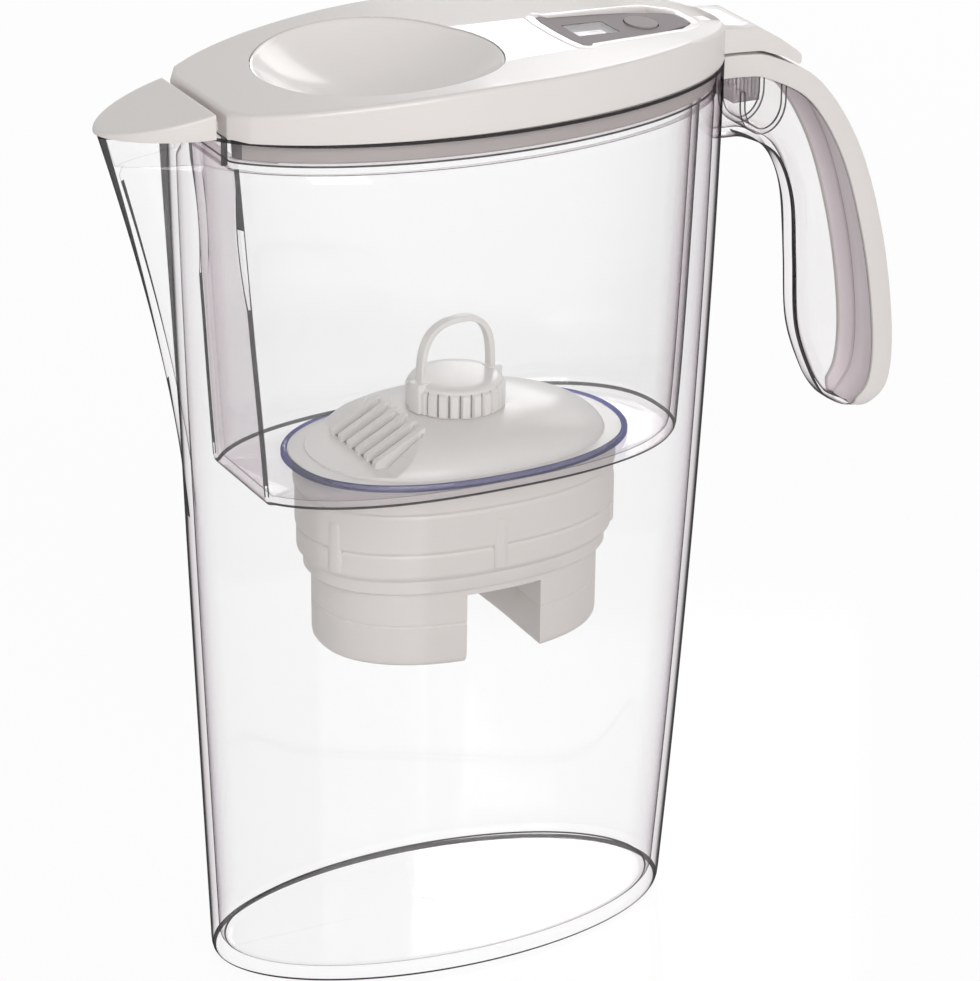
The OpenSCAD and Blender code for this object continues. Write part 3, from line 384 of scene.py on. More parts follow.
def latch_pocket():
    """The U-shaped pocket at the handle's root: a wall 1.5 mm thick round a U, carried across 13 mm. The outer 0.9
    mm at each side of it is painted dark, standing in for the dark that clear corners bend to the eye.
    """
    turn = np.radians(np.linspace(0, -180, 25))
    mid = np.vstack([[[103.2, 243]], oval(6.6, 8.2, turn, x=96.6, y=232.4), [[90, 236.5]]])
    d = np.gradient(mid, axis=0)
    side = np.stack([-d[:, 1], d[:, 0]], 1) / np.linalg.norm(d, axis=1)[:, None] * 0.75
    u = np.vstack([mid + side, (mid - side)[::-1]])
    return skin(upright(u, (-6.5, -5.6, 5.6, 6.5)), "flat", lines=((0, 1, 0, ALL, 1), (2, 3, 0, ALL, 1)))


# Both long edges of the grip face are painted dark, standing in for the dark that clear corners bend to the eye:
# the first and the last corner of the section's outline.
grip_edges = ((12, 84, 0, 2, 1), (12, 84, 57, 59, 1))
make("handle_clear_channel", [skin(channel, lines=grip_edges), latch_pocket()], "jug",
     [HANDLE_CLEAR, CORNER_PAINTED_DARK], ["handle_channel"])
strip_along = np.concatenate([[0.12, 0.3, 0.5, 0.75], along[(along >= 1) & (along < 8.7)]])
strip = clear_of_jug(handle_rings(strip_along, strip_section, 0.45))
# The strip's faces that look into the channel, which are painted lighter as painted light.
strip_painted_light_faces = ((0, ALL, 8, 15, 1),)
make("handle_cover_strip", [skin(strip, "flat", lines=strip_painted_light_faces)], "jug",
     [LID_WHITE, STRIP_INSIDE_PAINTED_LIGHT], ["handle_strip"])

# ---- reservoir --------------------------------------------------------------------------------
TANK_FLOOR, WALL_FOOT = 145.6, 148
TANK_ARC, TANK_WALL = 200, 24  # points of a reservoir ring: round its oval, and across its front
SOCKET_X, CN = 4.5, 2.28  # middle and power of the socket's oval, which the cartridge shares


def front_x(z):
    """Where the reservoir's flat front stands, which leans towards the spout as it rises."""
    return mix(-61.5, -68.8, (z - 148.5) / 100.8)


def tank_ring(z, t):
    """Reservoir section at height z, set in by t: round a squarish oval that widens towards the flat front
    with the 5th power of the way there, then across that front. Its corners are cut, deeper between 200 and
    234 mm by 1-((z-217)/17)^2. Each cut has a point near both its ends."""
    k = max(0, (z - WALL_FOOT) / (FLANGE_Z - WALL_FOOT))
    a, b, n = mix(67.4, 73.6, k ** 0.8) - t, mix(36.4, 38.2, k) - t, mix(2.45, 2.12, k)
    xf = front_x(z) + t
    turn = np.pi - np.arccos(((2.4 - xf - 1.2) / a) ** (n / 2))
    arc = oval(a, b, np.linspace(-turn, turn, TANK_ARC), n, 2.4)
    forward = np.clip((-30 - arc[:, 0]) / (-30 - arc[-1, 0]), 0, 1) ** 5
    arc[:, 1] *= 1 + max(0, (mix(17.6, 15.4, k) - t) / arc[-1, 1] - 1) * forward
    w = arc[-1, 1] - 0.6 - 2.4 * max(0, 1 - ((z - 217) / 17) ** 2)
    wall = np.stack([np.full(TANK_WALL, xf), np.linspace(w, -w, TANK_WALL)], 1)
    f = min(0.45, 0.4 / np.linalg.norm(arc[-1] - wall[0]))
    far = mix(arc[-1], wall[0], np.array([[f], [1 - f]]))
    return lift(np.vstack([arc, far, wall, far[::-1] * [1, -1]]), z)


def socket_edge(z, a, b):
    """The edge of the socket's hole, with as many points as a reservoir ring and its front ones in front."""
    turn = np.concatenate([np.linspace(-165, 165, TANK_ARC), np.linspace(165, 195, TANK_WALL + 6)[1:-1]])
    return lift(oval(a, b, np.radians(turn), CN, SOCKET_X), z)


def flange_ring(z, t):
    """The flange's edge at height z, set in by t: an oval, then straight across 1.6 mm before the front."""
    a, b = 78.8 - t, 41 - t
    front = TANK_WALL + 4
    xf = front_x(z) - 1.6 + t / 2
    turn = np.pi - np.arccos((1.4 - xf) / a)
    w = b * np.sqrt(1 - ((2.4 - xf) / a) ** 2) - 0.6
    arc = oval(a, b, np.linspace(-turn, turn, TANK_ARC), x=2.4)
    return lift(np.vstack([arc, np.stack([np.full(front, xf), np.linspace(w, -w, front)], 1)]), z)


def reservoir_shell():
    """The reservoir from the socket hole out along its underside, up the wall, over the flange and back down
    inside to the hole. Painted dark lines, standing in for the dark that clear corners bend to the eye, run round
    its foot and its flange and up both edges of each cut corner. Above and below the hollow, where the cut is
    narrow, all of it is painted dark."""
    walls = np.concatenate([np.arange(150, 196, 5.5), np.arange(196, 236, 2.2)])
    bottom = [socket_edge(143.6, 47, 30.8), tank_ring(143.6, 3.2), tank_ring(143.75, 1.9),
              tank_ring(144.3, 0.9),
              tank_ring(145.2, 0.3), tank_ring(146.6, 0)]
    out = [tank_ring(z, 0) for z in walls] + [tank_ring(FLANGE_Z - 0.3, 0), tank_ring(FLANGE_Z, -0.3)]
    flange = [flange_ring(FLANGE_Z, 0.4), flange_ring(FLANGE_Z + 0.3, 0), flange_ring(242.1, 0),
              flange_ring(242.5, 0.5),
              tank_ring(242.5, 1.3), tank_ring(242.1, 1.8), tank_ring(241, 2)]
    inner = [tank_ring(z, 2) for z in walls[::-1]] + [tank_ring(147.6, 2), tank_ring(146.5, 2.3),
                                                      tank_ring(145.85, 2.9),
             tank_ring(TANK_FLOOR, 3.8), socket_edge(TANK_FLOOR, 47, 30.8)]
    low, top = len(bottom), len(bottom) + len(out)
    narrow = [low + j for j, z in enumerate([*walls, FLANGE_Z]) if not 199 < z < 221]
    near, far = TANK_ARC, TANK_ARC + TANK_WALL + 2  # the first points of the two cuts
    lines = [(3, 4, 0, ALL, LINE), (top, top + 1, 0, ALL, LINE), (top + 2, top + 3, 0, ALL, LINE)]
    lines += [(low - 1, top, i, i + 1, LINE) for i in (near - 1, near + 1, far - 1, far + 1)]
    lines += [(j, j + 1, i, i + 1, LINE) for j in narrow for i in (near, far)]
    return skin(bottom + out + flange + inner, "loop", bands=((0, IN), (1, OUT), (top + 4, IN)),
                lines=lines)


def front_upstand():
    """The reservoir's flat front carried on above its flange to just under the lid: a plate 1.9 mm thick,
    with painted dark ends and a painted dark upper edge, standing in for the dark that clear corners bend to the
    eye."""
    x0, x1, y = -71.2, -69.3, 13.6

    def ring(z, e):
        return lift(np.array([[x0 + e, -y + e], [x1 - e, -y + e], [x1 - e, y - e], [x0 + e, y - e]]), z)
    return skin([ring(240.4, 0.3), ring(240.7, 0), ring(248.7, 0), ring(249.0, 0.3)], "flat",
                lines=((0, 3, 0, 1, LINE), (0, 3, 2, 3, LINE), (2, 3, 0, ALL, LINE)))


def socket_lip():
    """The raised lip round the socket: a rounded rib between two ovals."""
    prof = [(48.5, 31.5, 145.65), (48.5, 31.5, 146.8), (48.8, 31.8, 147.25), (49.3, 32.3, 147.4),
            (49.8, 32.8, 147.2),
            (50.1, 33.1, 146.7), (50.1, 33.1, 145.65)]
    return skin([lift(oval(a, b, around(220), CN, SOCKET_X), z) for a, b, z in prof], "loop")


make("reservoir_clear_shell", [reservoir_shell(), front_upstand()], "tank",
     [TANK_OUT, TANK_IN, CORNER_PAINTED_DARK], ["reservoir"])
make("socket_violet_lip", [socket_lip()], "tank", [RING_BLUE], ["socket_seal"])

# ---- cartridge --------------------------------------------------------------------------------
def pod_rings(profile, count=200):
    """Rings of the cartridge's oval for a profile of (half length, half width, height)."""
    return [lift(oval(a, b, around(count), CN, SOCKET_X), z) for a, b, z in profile]


def cup_profile():
    """Half sizes of the cup from its rim down to the step above the legs. The body stands out in two bands,
    each ended by a smooth step over a fine groove, and its lower edge is rounded."""
    z = np.linspace(144.9, 119, 96)
    swell = (0.5 / (1 + np.exp((137.4 - z) / 0.2)) + 0.4 / (1 + np.exp((125.6 - z) / 0.2))
             - 0.4 * np.exp(-((z - 136.9) / 0.5) ** 2) - 0.4 * np.exp(-((z - 125.1) / 0.5) ** 2))
    body = [(45.9 + s, 29.7 + s, h) for s, h in zip(swell, z)]
    flange = [(47.6, 31.4, 145.65), (48.1, 31.9, 145.75), (48.3, 32.1, 146.05), (48.3, 32.1, 146.5),
              (48.0, 31.8, 146.8)]
    edge = [(45.7, 29.5, 118.2), (45.1, 28.9, 117.5), (44.6, 28.5, 117.1), (44.3, 28.2, 116.8)]
    low = [(44.0, 28.1, 116), (44.0, 28.1, 113.2), (43.6, 27.8, 112.7), (42.0, 27.5, 112.5),
           (41.6, 27.4, 112.2), (41.6, 27.4, 110.9)]
    return flange[::-1] + [(46.6, 30.4, 145.65)] + body + edge + low


def leg(face, side):
    """One leg: the part of the oval beyond x = face, with rounded corners where the flat face meets it, a
    seam a third of the way down and a rounded lower edge."""
    a, b, n = 41.6, 27.4, 90
    y = b * (1 - (abs(face) / a) ** CN) ** (1 / CN)
    turn = np.arctan2((y / b) ** (CN / 2), (abs(face) / a) ** (CN / 2))
    arc = oval(a, b, np.linspace(-turn, turn, n), CN)
    line = np.stack([np.full(22, abs(face)), np.linspace(y, -y, 24)[1:-1]], 1)
    outline = np.vstack([arc, line])
    mid = np.array([(a + abs(face)) / 2, 0])
    out = outline - mid
    out /= np.linalg.norm(out, axis=1)[:, None]
    steps = [(0, 111.2), (0, 103.2), (0.25, 102.9), (0.25, 102.5), (0, 102.2), (0.1, 93), (0.3, 91.8),
             (0.8, 91), (1.6, 90.6), (2.6, 90.5)]
    return skin([lift((outline - out * t) * [side, 1] + [SOCKET_X, 0], z) for t, z in steps])


def clip_rib(at):
    """Upright rounded clip rib on the cup's side at the angle at, 4.4 mm wide and 1.5 mm proud. Its two sides are
    painted dark as shade.
    """
    p = oval(45.7, 29.5, np.radians([at - 0.5, at, at + 0.5]), CN, SOCKET_X)
    t = (p[2] - p[0]) / np.linalg.norm(p[2] - p[0])
    o = np.array([t[1], -t[0]])
    w = np.linspace(0, np.pi, 17)
    form = p[1] + np.outer(2.2 * np.cos(w), t) + np.outer(1.5 * np.sin(w) ** 0.5, o) - 0.6 * o
    base = p[1] + np.outer([-2.2, 2.2], t) - 1.2 * o
    outline = np.vstack([form, base])
    z0, z1 = 118.5, 133.5
    mid = p[1] - 1.0 * o
    return skin([lift(mix(mid, outline, f), z) for f, z in
                 ((0.75, z0), (0.93, z0 + 0.3), (1, z0 + 1), (1, z1 - 1), (0.93, z1 - 0.3), (0.75, z1))],
                lines=((0, 9, 0, 1, 1), (0, 9, 15, 16, 1)))


make("cartridge_ribbed_cup",
     [skin(pod_rings(cup_profile())), leg(-9.5, -1), leg(13.5, 1), clip_rib(-90.5), clip_rib(-158),
      clip_rib(90.5), clip_rib(-22)],
     "cartridge", [CUP_PAINTED_SHADE, GROOVE_PAINTED_SHADE], ["cartridge_cup"])

FIN_TOP, FIN_FOOT, FIN_Y = (-17.2, 157.0), (-31.5, 146.4), 5.45


def cover_z(x, y, k):
    """Height of the cartridge's cover at x, y from the socket's middle, k being how far out between the knob
    and the dome's foot. A dome 9.7 (1-k^2.6)^0.62 high is cut by a flat facet that faces the spout, runs out
    into a low apron, and is sunk by 2.4 mm between the fins."""
    dome = 147 + 9.7 * np.maximum(0, 1 - k ** 2.6) ** 0.62
    slope = (FIN_TOP[1] - FIN_FOOT[1]) / (FIN_TOP[0] - FIN_FOOT[0])
    facet = FIN_TOP[1] + slope * (x - FIN_TOP[0])
    apron = 147.3 + 0.035 * (x + 45)
    within = np.clip((3.05 * FIN_Y - np.abs(y)) / 0.8, 0, 1) * np.clip((x + 31.2) / 0.8, 0,
                                                                       1) * np.clip((-17.6 - x) / 0.8, 0, 1)
    return np.minimum(dome, np.maximum(facet - 2.4 * within, apron))


def cover_shell():
    """The cover: rings from the knob's seat out to the dome's foot, closest together where the dome is
    steepest, and then the thin flange that lies on the cup's."""
    k = np.concatenate([np.linspace(0, 0.92, 84), 1 - np.linspace(0.075, 0, 16) ** 1.15])
    turn = around(420)
    rings = []
    for q in k:
        flat = oval(mix(11.2, 43.2, q), mix(11.2, 29.6, q), turn, mix(2, CN, q))
        rings.append(lift(flat + [SOCKET_X, 0], cover_z(flat[:, 0], flat[:, 1], q)))
    flange = ((43.6, 29.9, 146.95), (47.6, 31.6, 146.95), (48.2, 32, 146.9), (47.9, 31.7, 146.8),
              (43, 28, 146.8))
    return skin(rings + pod_rings(flange, len(turn)))


def fin(y):
    """One louvre blade: a wedge whose top edge falls less steeply than the facet, so that it ends in an
    upright face 3 mm tall at its foot. The edges are eased."""
    side = np.array([[-16.4, 157.25], [-18.2, 156.75], [-31.2, 149.7], [-31.7, 149.2], [-31.7, 145.6],
                     [-29.5, 145.2],
                     [-16.4, 154.4]])
    x, z = side.T
    w = [(0.86, -1.08), (1, -0.86), (1, 0.86), (0.86, 1.08)]
    mid = side.mean(0)
    return skin([np.stack([SOCKET_X + mid[0] + (x - mid[0]) * mix(1, f, 0.2), np.full(len(x), y + dy),
                           mid[1] + (z - mid[1]) * mix(1, f, 0.35)], 1) for f, dy in w], "flat")


def slot_shade(y):
    """Painted shade of one slot between two blades: a thin dark plate that lies along the sunk facet."""
    p = np.array([[-18.6, 153.8], [-26.2, 148.25], [-31.0, 148.05], [-31.0, 147.7], [-26.2, 147.9],
                  [-18.4, 153.4]])
    return skin([np.stack([SOCKET_X + p[:, 0], np.full(6, y + dy), p[:, 1]], 1) for dy in (-1.5, 1.5)],
                "flat", bands=((0, 1),))


fins = [fin(FIN_Y * q) for q in (-2.5, -1.5, -0.5, 0.5, 1.5, 2.5)]
slots = [slot_shade(FIN_Y * q) for q in (-2, -1, 0, 1, 2)]
make("cartridge_finned_cover", [cover_shell()] + fins + slots, "cartridge",
     [FILTER_WHITE, GROOVE_PAINTED_SHADE],
     ["cartridge_dome"], crease=24)


def knob_shell():
    """The ribbed knob: wide ribs between narrow grooves, rounded off above and below, under a plain disc
    with a slight crown. The grooves' bottoms are painted darker as shade."""
    ribs, steps = 26, 14
    turn = around(ribs * steps)
    groove = np.clip((np.abs((turn * ribs / (2 * np.pi)) % 1 - 0.5) - 0.33) / 0.08, 0, 1)

    def ring(r, deep, z):
        r = r - deep * groove
        return lift(np.stack([SOCKET_X + r * np.cos(turn), r * np.sin(turn)], 1), z)
    body = [(11.2, 0, 155.2), (11.2, 0, 156.6), (12.6, 0, 156.7), (13.5, 0.8, 156.9), (13.9, 1.0, 157.5),
            (13.9, 1.0, 162.6),
            (13.6, 0.8, 163.3), (13.0, 0, 163.6), (12.9, 0, 163.7), (12.8, 0, 164.4), (12.3, 0, 164.9),
            (11.4, 0, 165.15)]
    crown = [(r, 0, 165.15 + 0.25 * (1 - (r / 11.4) ** 2)) for r in (9, 6, 3, 1)]
    dark = [(3, 8, steps * q + i, steps * q + i + 1, 1) for q in range(ribs) for i in (0, steps - 1)]
    return skin([ring(*p) for p in body + crown], lines=dark)


STRAP_TURN = np.radians(10)  # the strap stands a little askew on the knob


def loop_foot(side):
    """The thick plain block that a foot of the strap grows out of."""
    c, s = np.cos(STRAP_TURN), np.sin(STRAP_TURN)
    box = rounded(np.array([[10.2, -2.4], [14.5, -2.4], [14.5, 2.4], [10.2, 2.4]], float), 0.5) * [side, 1]
    box = np.stack([box[:, 0] * c - box[:, 1] * s, box[:, 0] * s + box[:, 1] * c], 1)
    mid = box.mean(0)
    return skin([lift(mix(mid, box, f) + [SOCKET_X, 0], z) for f,
                 z in ((0.9, 157), (1, 157.3), (1, 165), (0.9, 165.5))])


def loop_shell():
    """The carrying strap, a flat band 2.9 mm wide carried along an arch (11.9 cos^0.8, 16.2 sin^0.62)."""
    t = np.linspace(0, np.pi, 64)
    c, s = np.cos(t), np.sin(t)
    x, z = 11.9 * np.sign(c) * np.abs(c) ** 0.8, 16.2 * np.maximum(s, 0) ** 0.62
    d = np.stack([np.gradient(x), np.gradient(z)], 1)
    d /= np.linalg.norm(d, axis=1)[:, None]
    out = np.stack([d[:, 1], -d[:, 0]], 1)
    band = rounded(np.array([[0.85, -1.45], [0.85, 1.45], [-0.85, 1.45], [-0.85, -1.45]]), 0.35)
    px = x[:, None] + out[:, :1] * band[:, 0]
    pz = z[:, None] + out[:, 1:] * band[:, 0]
    py = np.broadcast_to(band[:, 1], px.shape)
    c, s = np.cos(STRAP_TURN), np.sin(STRAP_TURN)
    return skin(np.stack([SOCKET_X + px * c - py * s, px * s + py * c, 165.1 + pz], -1))


make("cartridge_ribbed_knob", [knob_shell()], "cartridge", [FILTER_WHITE, GROOVE_PAINTED_SHADE],
     ["cartridge_knob"])
make("cartridge_carrying_strap", [loop_shell(), loop_foot(-1), loop_foot(1)], "cartridge",
     [FILTER_WHITE], ["cartridge_loop"])

# ---- lid --------------------------------------------------------------------------------------
EDGE_Z = 261.6
LID_X, LID_L, LID_W, LID_FRONT = 0.5, 83, 43.4, -71.5  # the lid's oval and its straight front
LID_ARC, LID_FLAT = 320, 40  # points of a lid ring: round the oval, and across the front
DISH_X, DISH_R, DISH_DEEP = -19.5, 34.0, 13


def side_z(x):
    """Height of the lid's outer edge: level in the middle, falling to the spout with the 1.5th power."""
    return EDGE_Z - np.where(x < 0, 5.2 * (np.maximum(-x, 0) / 73) ** 1.5, 0.136 * np.maximum(x - 60, 0))


def lid_z(x, y):
    """Height of the lid's top: a lower band along the middle, whose half width is w, and facets that rise
    from it to the edge."""
    w = np.interp(x, [-73, -47, 11, 36, 60, 77], [17, 19, 17, 15, 10, 1])
    low = EDGE_Z - 2.2 - 3.1 * (np.maximum(0, -x - 20) / 53) ** 2 - 1.4 * (np.maximum(0, x - 36) / 36) ** 2
    h = np.maximum(w + 1, LID_W * np.sqrt(np.maximum(0.01, 1 - ((x - LID_X) / LID_L) ** 2)) - 1.2)
    return mix(low, side_z(x), np.clip((np.abs(y) - w) / (h - w), 0, 1))


def blunt(a, b, turn, mid, x, y):
    """An oval about x = mid from -turn to turn, closed by a straight front at x that is 2 y wide."""
    return np.vstack([oval(a, b, np.linspace(-turn, turn, LID_ARC), x=mid),
                      np.stack([np.full(LID_FLAT, x), np.linspace(y, -y, LID_FLAT)], 1)])


def lid_outline(t):
    """The lid's outer edge, set in by t."""
    return blunt(LID_L - t, LID_W - t, np.pi - np.arccos(68.5 / LID_L), LID_X, LID_FRONT + t,
                 18.3 - 0.6 * t)


def plug_outline(t):
    """The plug below the lid, set in by t."""
    a = 78.7 - t
    return blunt(a, 40.9 - t, np.pi - np.arccos(70.5 / a), 2.4, -69 + t, 15.6 - 0.6 * t)


GAUGE_TILT = math.radians(1.73)
GAUGE_X, GAUGE_Z = 54, 258.75


def in_gauge(p):
    """From the gauge panel's own frame, whose origin is in the middle of its face, to the lid."""
    c, s = math.cos(GAUGE_TILT), math.sin(GAUGE_TILT)
    return np.stack([GAUGE_X + p[..., 0] * c + p[..., 2] * s, p[..., 1],
                     GAUGE_Z - p[..., 0] * s + p[..., 2] * c], -1)


def panel_outline(g, steps=10):
    """The gauge panel's outline grown by g, with its edges divided."""
    l, w = 19.5, 15.0
    side = [[l + g, 0], [l - 0.5 + g, 0.32 * w + g * 0.5], [l - 2 + g * 0.7, 0.42 * w + g],
            [0.7 * l, 0.68 * w + g],
            [-0.8 * l, 0.87 * w + g], [2.4 - l - g * 0.3, w + g], [1 - l - g, 0.93 * w + g * 0.5],
            [0.3 - l - g, 0.6 * w], [-l - g, 0]]
    side = np.array(side)
    p = np.vstack([side, side[-2:0:-1] * [1, -1]])
    f = np.linspace(0, 1, steps, endpoint=False)[:, None]
    return mix(p[:, None], np.roll(p, -1, 0)[:, None], f[None]).reshape(-1, 2)


def inside_panel(x, y, grow):
    """Whether points lie inside the panel's outline grown by grow: an odd number of its edges lies to the
    right."""
    p = panel_outline(grow, 1) + [GAUGE_X, 0]
    a, b = p, np.roll(p, -1, 0)
    over = (a[:, 1] > y[..., None]) != (b[:, 1] > y[..., None])
    tall = np.where(a[:, 1] == b[:, 1], 1, b[:, 1] - a[:, 1])
    cut = a[:, 0] + (y[..., None] - a[:, 1]) / tall * (b[:, 0] - a[:, 0])
    return (over & (x[..., None] < cut)).sum(-1) % 2 == 1


def lid_shell():
    """The lid: up the plug, out under the edge, up the side, across the top to the dish and back inside.
    The pocket of the gauge is sunk by 6 mm, and the plug's front stays open below the spout flap."""
    side, plug = lid_outline(0), plug_outline(0)
    x = side[:, 0]
    top = side_z(x)

    def edge(t, z):
        return lift(lid_outline(t), z)

    def across(k, drop):
        p = lid_outline(1.3)
        v = p - [DISH_X, 0]
        hole = [DISH_X, 0] + v / np.linalg.norm(v, axis=1)[:, None] * (DISH_R + 0.15)
        q = mix(p, hole, k)
        z = lid_z(q[:, 0], q[:, 1]) - drop
        return lift(q, np.where(inside_panel(q[:, 0], q[:, 1], 1.0), z - 6.0, z))

    def low(t, z):
        i = np.arange(len(x))
        return lift(plug_outline(t), np.where((i > LID_ARC) & (i < LID_ARC + LID_FLAT - 1), 248.7, z))

    up = [low(0.3, 243.2), low(0, 243.6), lift(plug, JUG_H), edge(0.6, JUG_H), edge(0.15, JUG_H + 0.15),
          edge(0, JUG_H + 0.6)]
    wall = [edge(0, mix(JUG_H + 0.6, top - 1.6, f)) for f in (0.25, 0.5, 0.75, 1)]
    brow = [edge(0.12, top - 0.95), edge(0.4, top - 0.42), edge(0.8, top - 0.12)]
    deck = [across(k, 0) for k in np.concatenate([np.linspace(0, 0.985, 110), [1]])]
    lip = [across(1, 0.6), across(1, 2.0)]
    under = [across(k, 2.0) for k in np.linspace(0.9, 0.12, 20)] + [lift(plug_outline(1.8), 252),
                                                                    low(1.8, 243.6), low(1.5, 243.2)]
    rings = up + wall + brow + deck + lip + under
    last = LID_ARC + LID_FLAT - 1
    # The plug's ends beside its open front get the darker painted shade.
    ends = ((0, 2, 0, 1, 2), (0, 2, last, last + 1, 2), (0, 2, LID_ARC - 2, LID_ARC, 2))
    return skin(rings, "loop", bands=((0, 1), (3, 0), (len(rings) - 3, 1)), lines=ends)


def thumb_tab():
    """The tab over the handle: one outline carried across from side to side, with eased edges."""
    p = np.array([[77, 257.7], [91.5, 256.6], [98.6, 252.2], [104.6, 247.7], [105.1, 246.9],
                  [105.1, 244.6], [104.3, 244.4],
                  [99.6, 247.1], [92, 249.9], [84.5, 250.4], [78, 250.6]])
    p = rounded(p, 0.7)
    mid = p.mean(0)
    sides = [(-12.1, 0.96), (-12.1, 0.985), (-11.7, 1), (-6, 1), (0, 1), (6, 1), (11.7, 1), (12.1, 0.985),
             (12.1, 0.96)]
    return skin([np.stack([mix(mid[0], p[:, 0], f), np.full(len(p), y), mix(mid[1], p[:, 1], f)], 1) for y,
                 f in sides], "flat")


def gauge_rim():
    """The low rim round the gauge panel, which covers the edge of the pocket in the lid."""
    prof = [(3.3, -0.3), (3.1, 0.05), (2.7, 0.12), (0.9, 0.14), (0.5, 0.1), (0.3, 0.0), (0.2, -0.3),
            (0.2, -1.6), (3.0, -1.6)]
    rings = []
    for g, h in prof:
        q = in_gauge(lift(panel_outline(g), 0))
        rings.append(np.stack([q[:, 0], q[:, 1], np.maximum(q[:, 2], lid_z(q[:, 0], q[:, 1])) + h], 1))
    return skin(rings, "loop")


def spout_ears():
    """Two small bored blocks under the lid's front edge that hold the spout flap's pin."""
    ears = []
    for y in (-11.4, 11.4):
        p = np.vstack([oval(1.5, 1.5, np.radians(np.linspace(90, 270, 15)), x=-77, y=252.2),
                       [[-71, 249.9], [-71, 252.4]]])
        ears.append(skin(upright(p, (y - 1.2, y + 1.2)), "flat"))
    return ears


make("lid_cover_shell", [lid_shell(), thumb_tab(), gauge_rim()] + spout_ears(), "lid",
     [LID_WHITE, SKIRT_PAINTED_SHADE, SKIRT_END_PAINTED_SHADE],
     ["lid_shell"], crease=26)


def dish_shell():
    """The filling dish: a spherical bowl whose edge follows the lid's top, with a rounded rim."""
    turn = around(200)
    ball = (DISH_R ** 2 + DISH_DEEP ** 2) / (2 * DISH_DEEP)
    edge = lid_z(DISH_X + DISH_R * np.cos(turn), DISH_R * np.sin(turn))

    def ring(r, drop):
        s = math.sqrt(ball ** 2 - r * r) - (ball - DISH_DEEP)
        return lift(oval(r, r, turn, x=DISH_X), mix(259.2, edge, (r / DISH_R) ** 4) - s - drop)
    inner = [ring(r, 0) for r in (1.5, 4, 7, 10, 13, 16, 19, 22, 25, 27.5, 29.5, 31, 32, 32.6)]
    rim = [ring(33.1, -0.1), ring(33.5, 0.0), ring(33.85, 0.2), ring(34, 0.6), ring(34, 1.5)]
    outer = [ring(r, 2) for r in (33, 30, 25, 20, 15, 10, 5, 1.5)]
    return skin(inner + rim + outer)


def knuckle(y):
    """A barrel 6 mm long round the filling flap's pin, from y on, with the web that joins it to the dish."""
    p = np.vstack([oval(2.1, 2.1, np.radians(np.linspace(-110, 90, 22)), x=16.5, y=254.6),
                   [[10, 254.3], [9.4, 252.8]]])
    return skin(upright(p, (y, y + 6)), "flat")


make("filling_dish", [dish_shell(), knuckle(-8.6), knuckle(2.6)], "filling_flap",
     [DISH_PAINTED_LIGHT], ["fill_flap"])


def spout_cap():
    """The spout flap: a pointed plan, straight at the back, under a sloping flat top with a rounded edge,
    hollow below."""
    mid = np.array([-86.0, 0])

    def plan(t, back=-74.2, count=150):
        a, b = 27.8 - t, 17.9 - t
        turn = np.arccos(-((-73 - back) / a) ** 0.9)
        arc = oval(a, b, np.linspace(turn, 2 * np.pi - turn, count), 1.8, -73)
        y = arc[0, 1]
        return np.vstack([arc, np.stack([np.full(24, arc[0, 0]), np.linspace(-y, y, 26)[1:-1]], 1)])

    def top(p, drop):
        return lift(p, 250.5 + 0.218 * (p[:, 0] + 100.8) - drop)

    side = [lift(plan(1.2, -75), 249.55), lift(plan(0.35), 249.3), lift(plan(0.05), 249.4),
            lift(plan(0), 249.6)]
    brow = [top(plan(0), 0.75), top(plan(0.1), 0.4), top(plan(0.35), 0.14), top(plan(0.75, -74.6), 0.0),
            top(plan(1.6, -75.2), 0)]
    deck = [top(mix(mid, plan(1.6, -75.2), f), 0) for f in (0.8, 0.6, 0.4, 0.2, 0.06)]
    under = [top(mix(mid, plan(1.7, -76.2), f), 1.7) for f in (0.06, 0.4, 0.8, 1)]
    return skin(deck[::-1] + brow[::-1] + side[::-1] + under[::-1])


make("pouring_flap_cap", [spout_cap()], "pouring_flap", [LID_WHITE], ["spout_flap"])

# ---- the CAD pieces that show as they are, and those inside -----------------------------------
FELT = moulded("white_filter_felt", "e9e7e0", rough=0.9, grain_mm=0.5, bump=0.6, vary=0.08)
CARBON = moulded("carbon_granules", "262628", rough=0.7, grain_mm=0.9, bump=1.0, vary=0.4)
BOARD = moulded("green_circuit_board", "2a5a38", rough=0.45, grain_mm=2.0, vary=0.2)
RUBBER = moulded("black_silicone_seal", "3a3a3c", rough=0.6, grain_mm=0.8, bump=0.1)
RED = moulded("red_polypropylene_plug", "c0211b", rough=0.4)
LCD = moulded("liquid_crystal_glass", "b9b6b2", rough=0.12, grain_mm=3.0)
WINDOW = clear("clear_acrylic_window", ((0, "fbfbfb"), (0.8, "dcdadd"), (1, "8a878c")))
LATCH = clear("clear_styrene_latch", ((0, "e4e0e2"), (0.4, "c8c2c5"), (0.75, "8b8387"), (0.9, "3c383a"),
                                      (1, "1c1a1b")), sheen=0.3)

shown = {"handle_latch": LATCH, "gauge_panel": GAUGE_GREY, "gauge_window": WINDOW, "gauge_display": LCD,
         "reset_button": BUTTON_GREY, "gauge_board": BOARD, "gauge_seal": RUBBER, "outlet_plug": RED,
         "upper_felt": FELT, "lower_felts": FELT, "carbon_media": CARBON, "inlet_screen": FILTER_WHITE,
         "outlet_grids": FILTER_WHITE, "gauge_housing": LID_WHITE, "gauge_cover": LID_WHITE}
steel = ("pin", "spring", "screws", "cell", "dome")
for name, node in nodes.items():
    for holder in node.material_slots:
        holder.material = shown.get(name, STEEL if name.endswith(steel) else LID_WHITE)

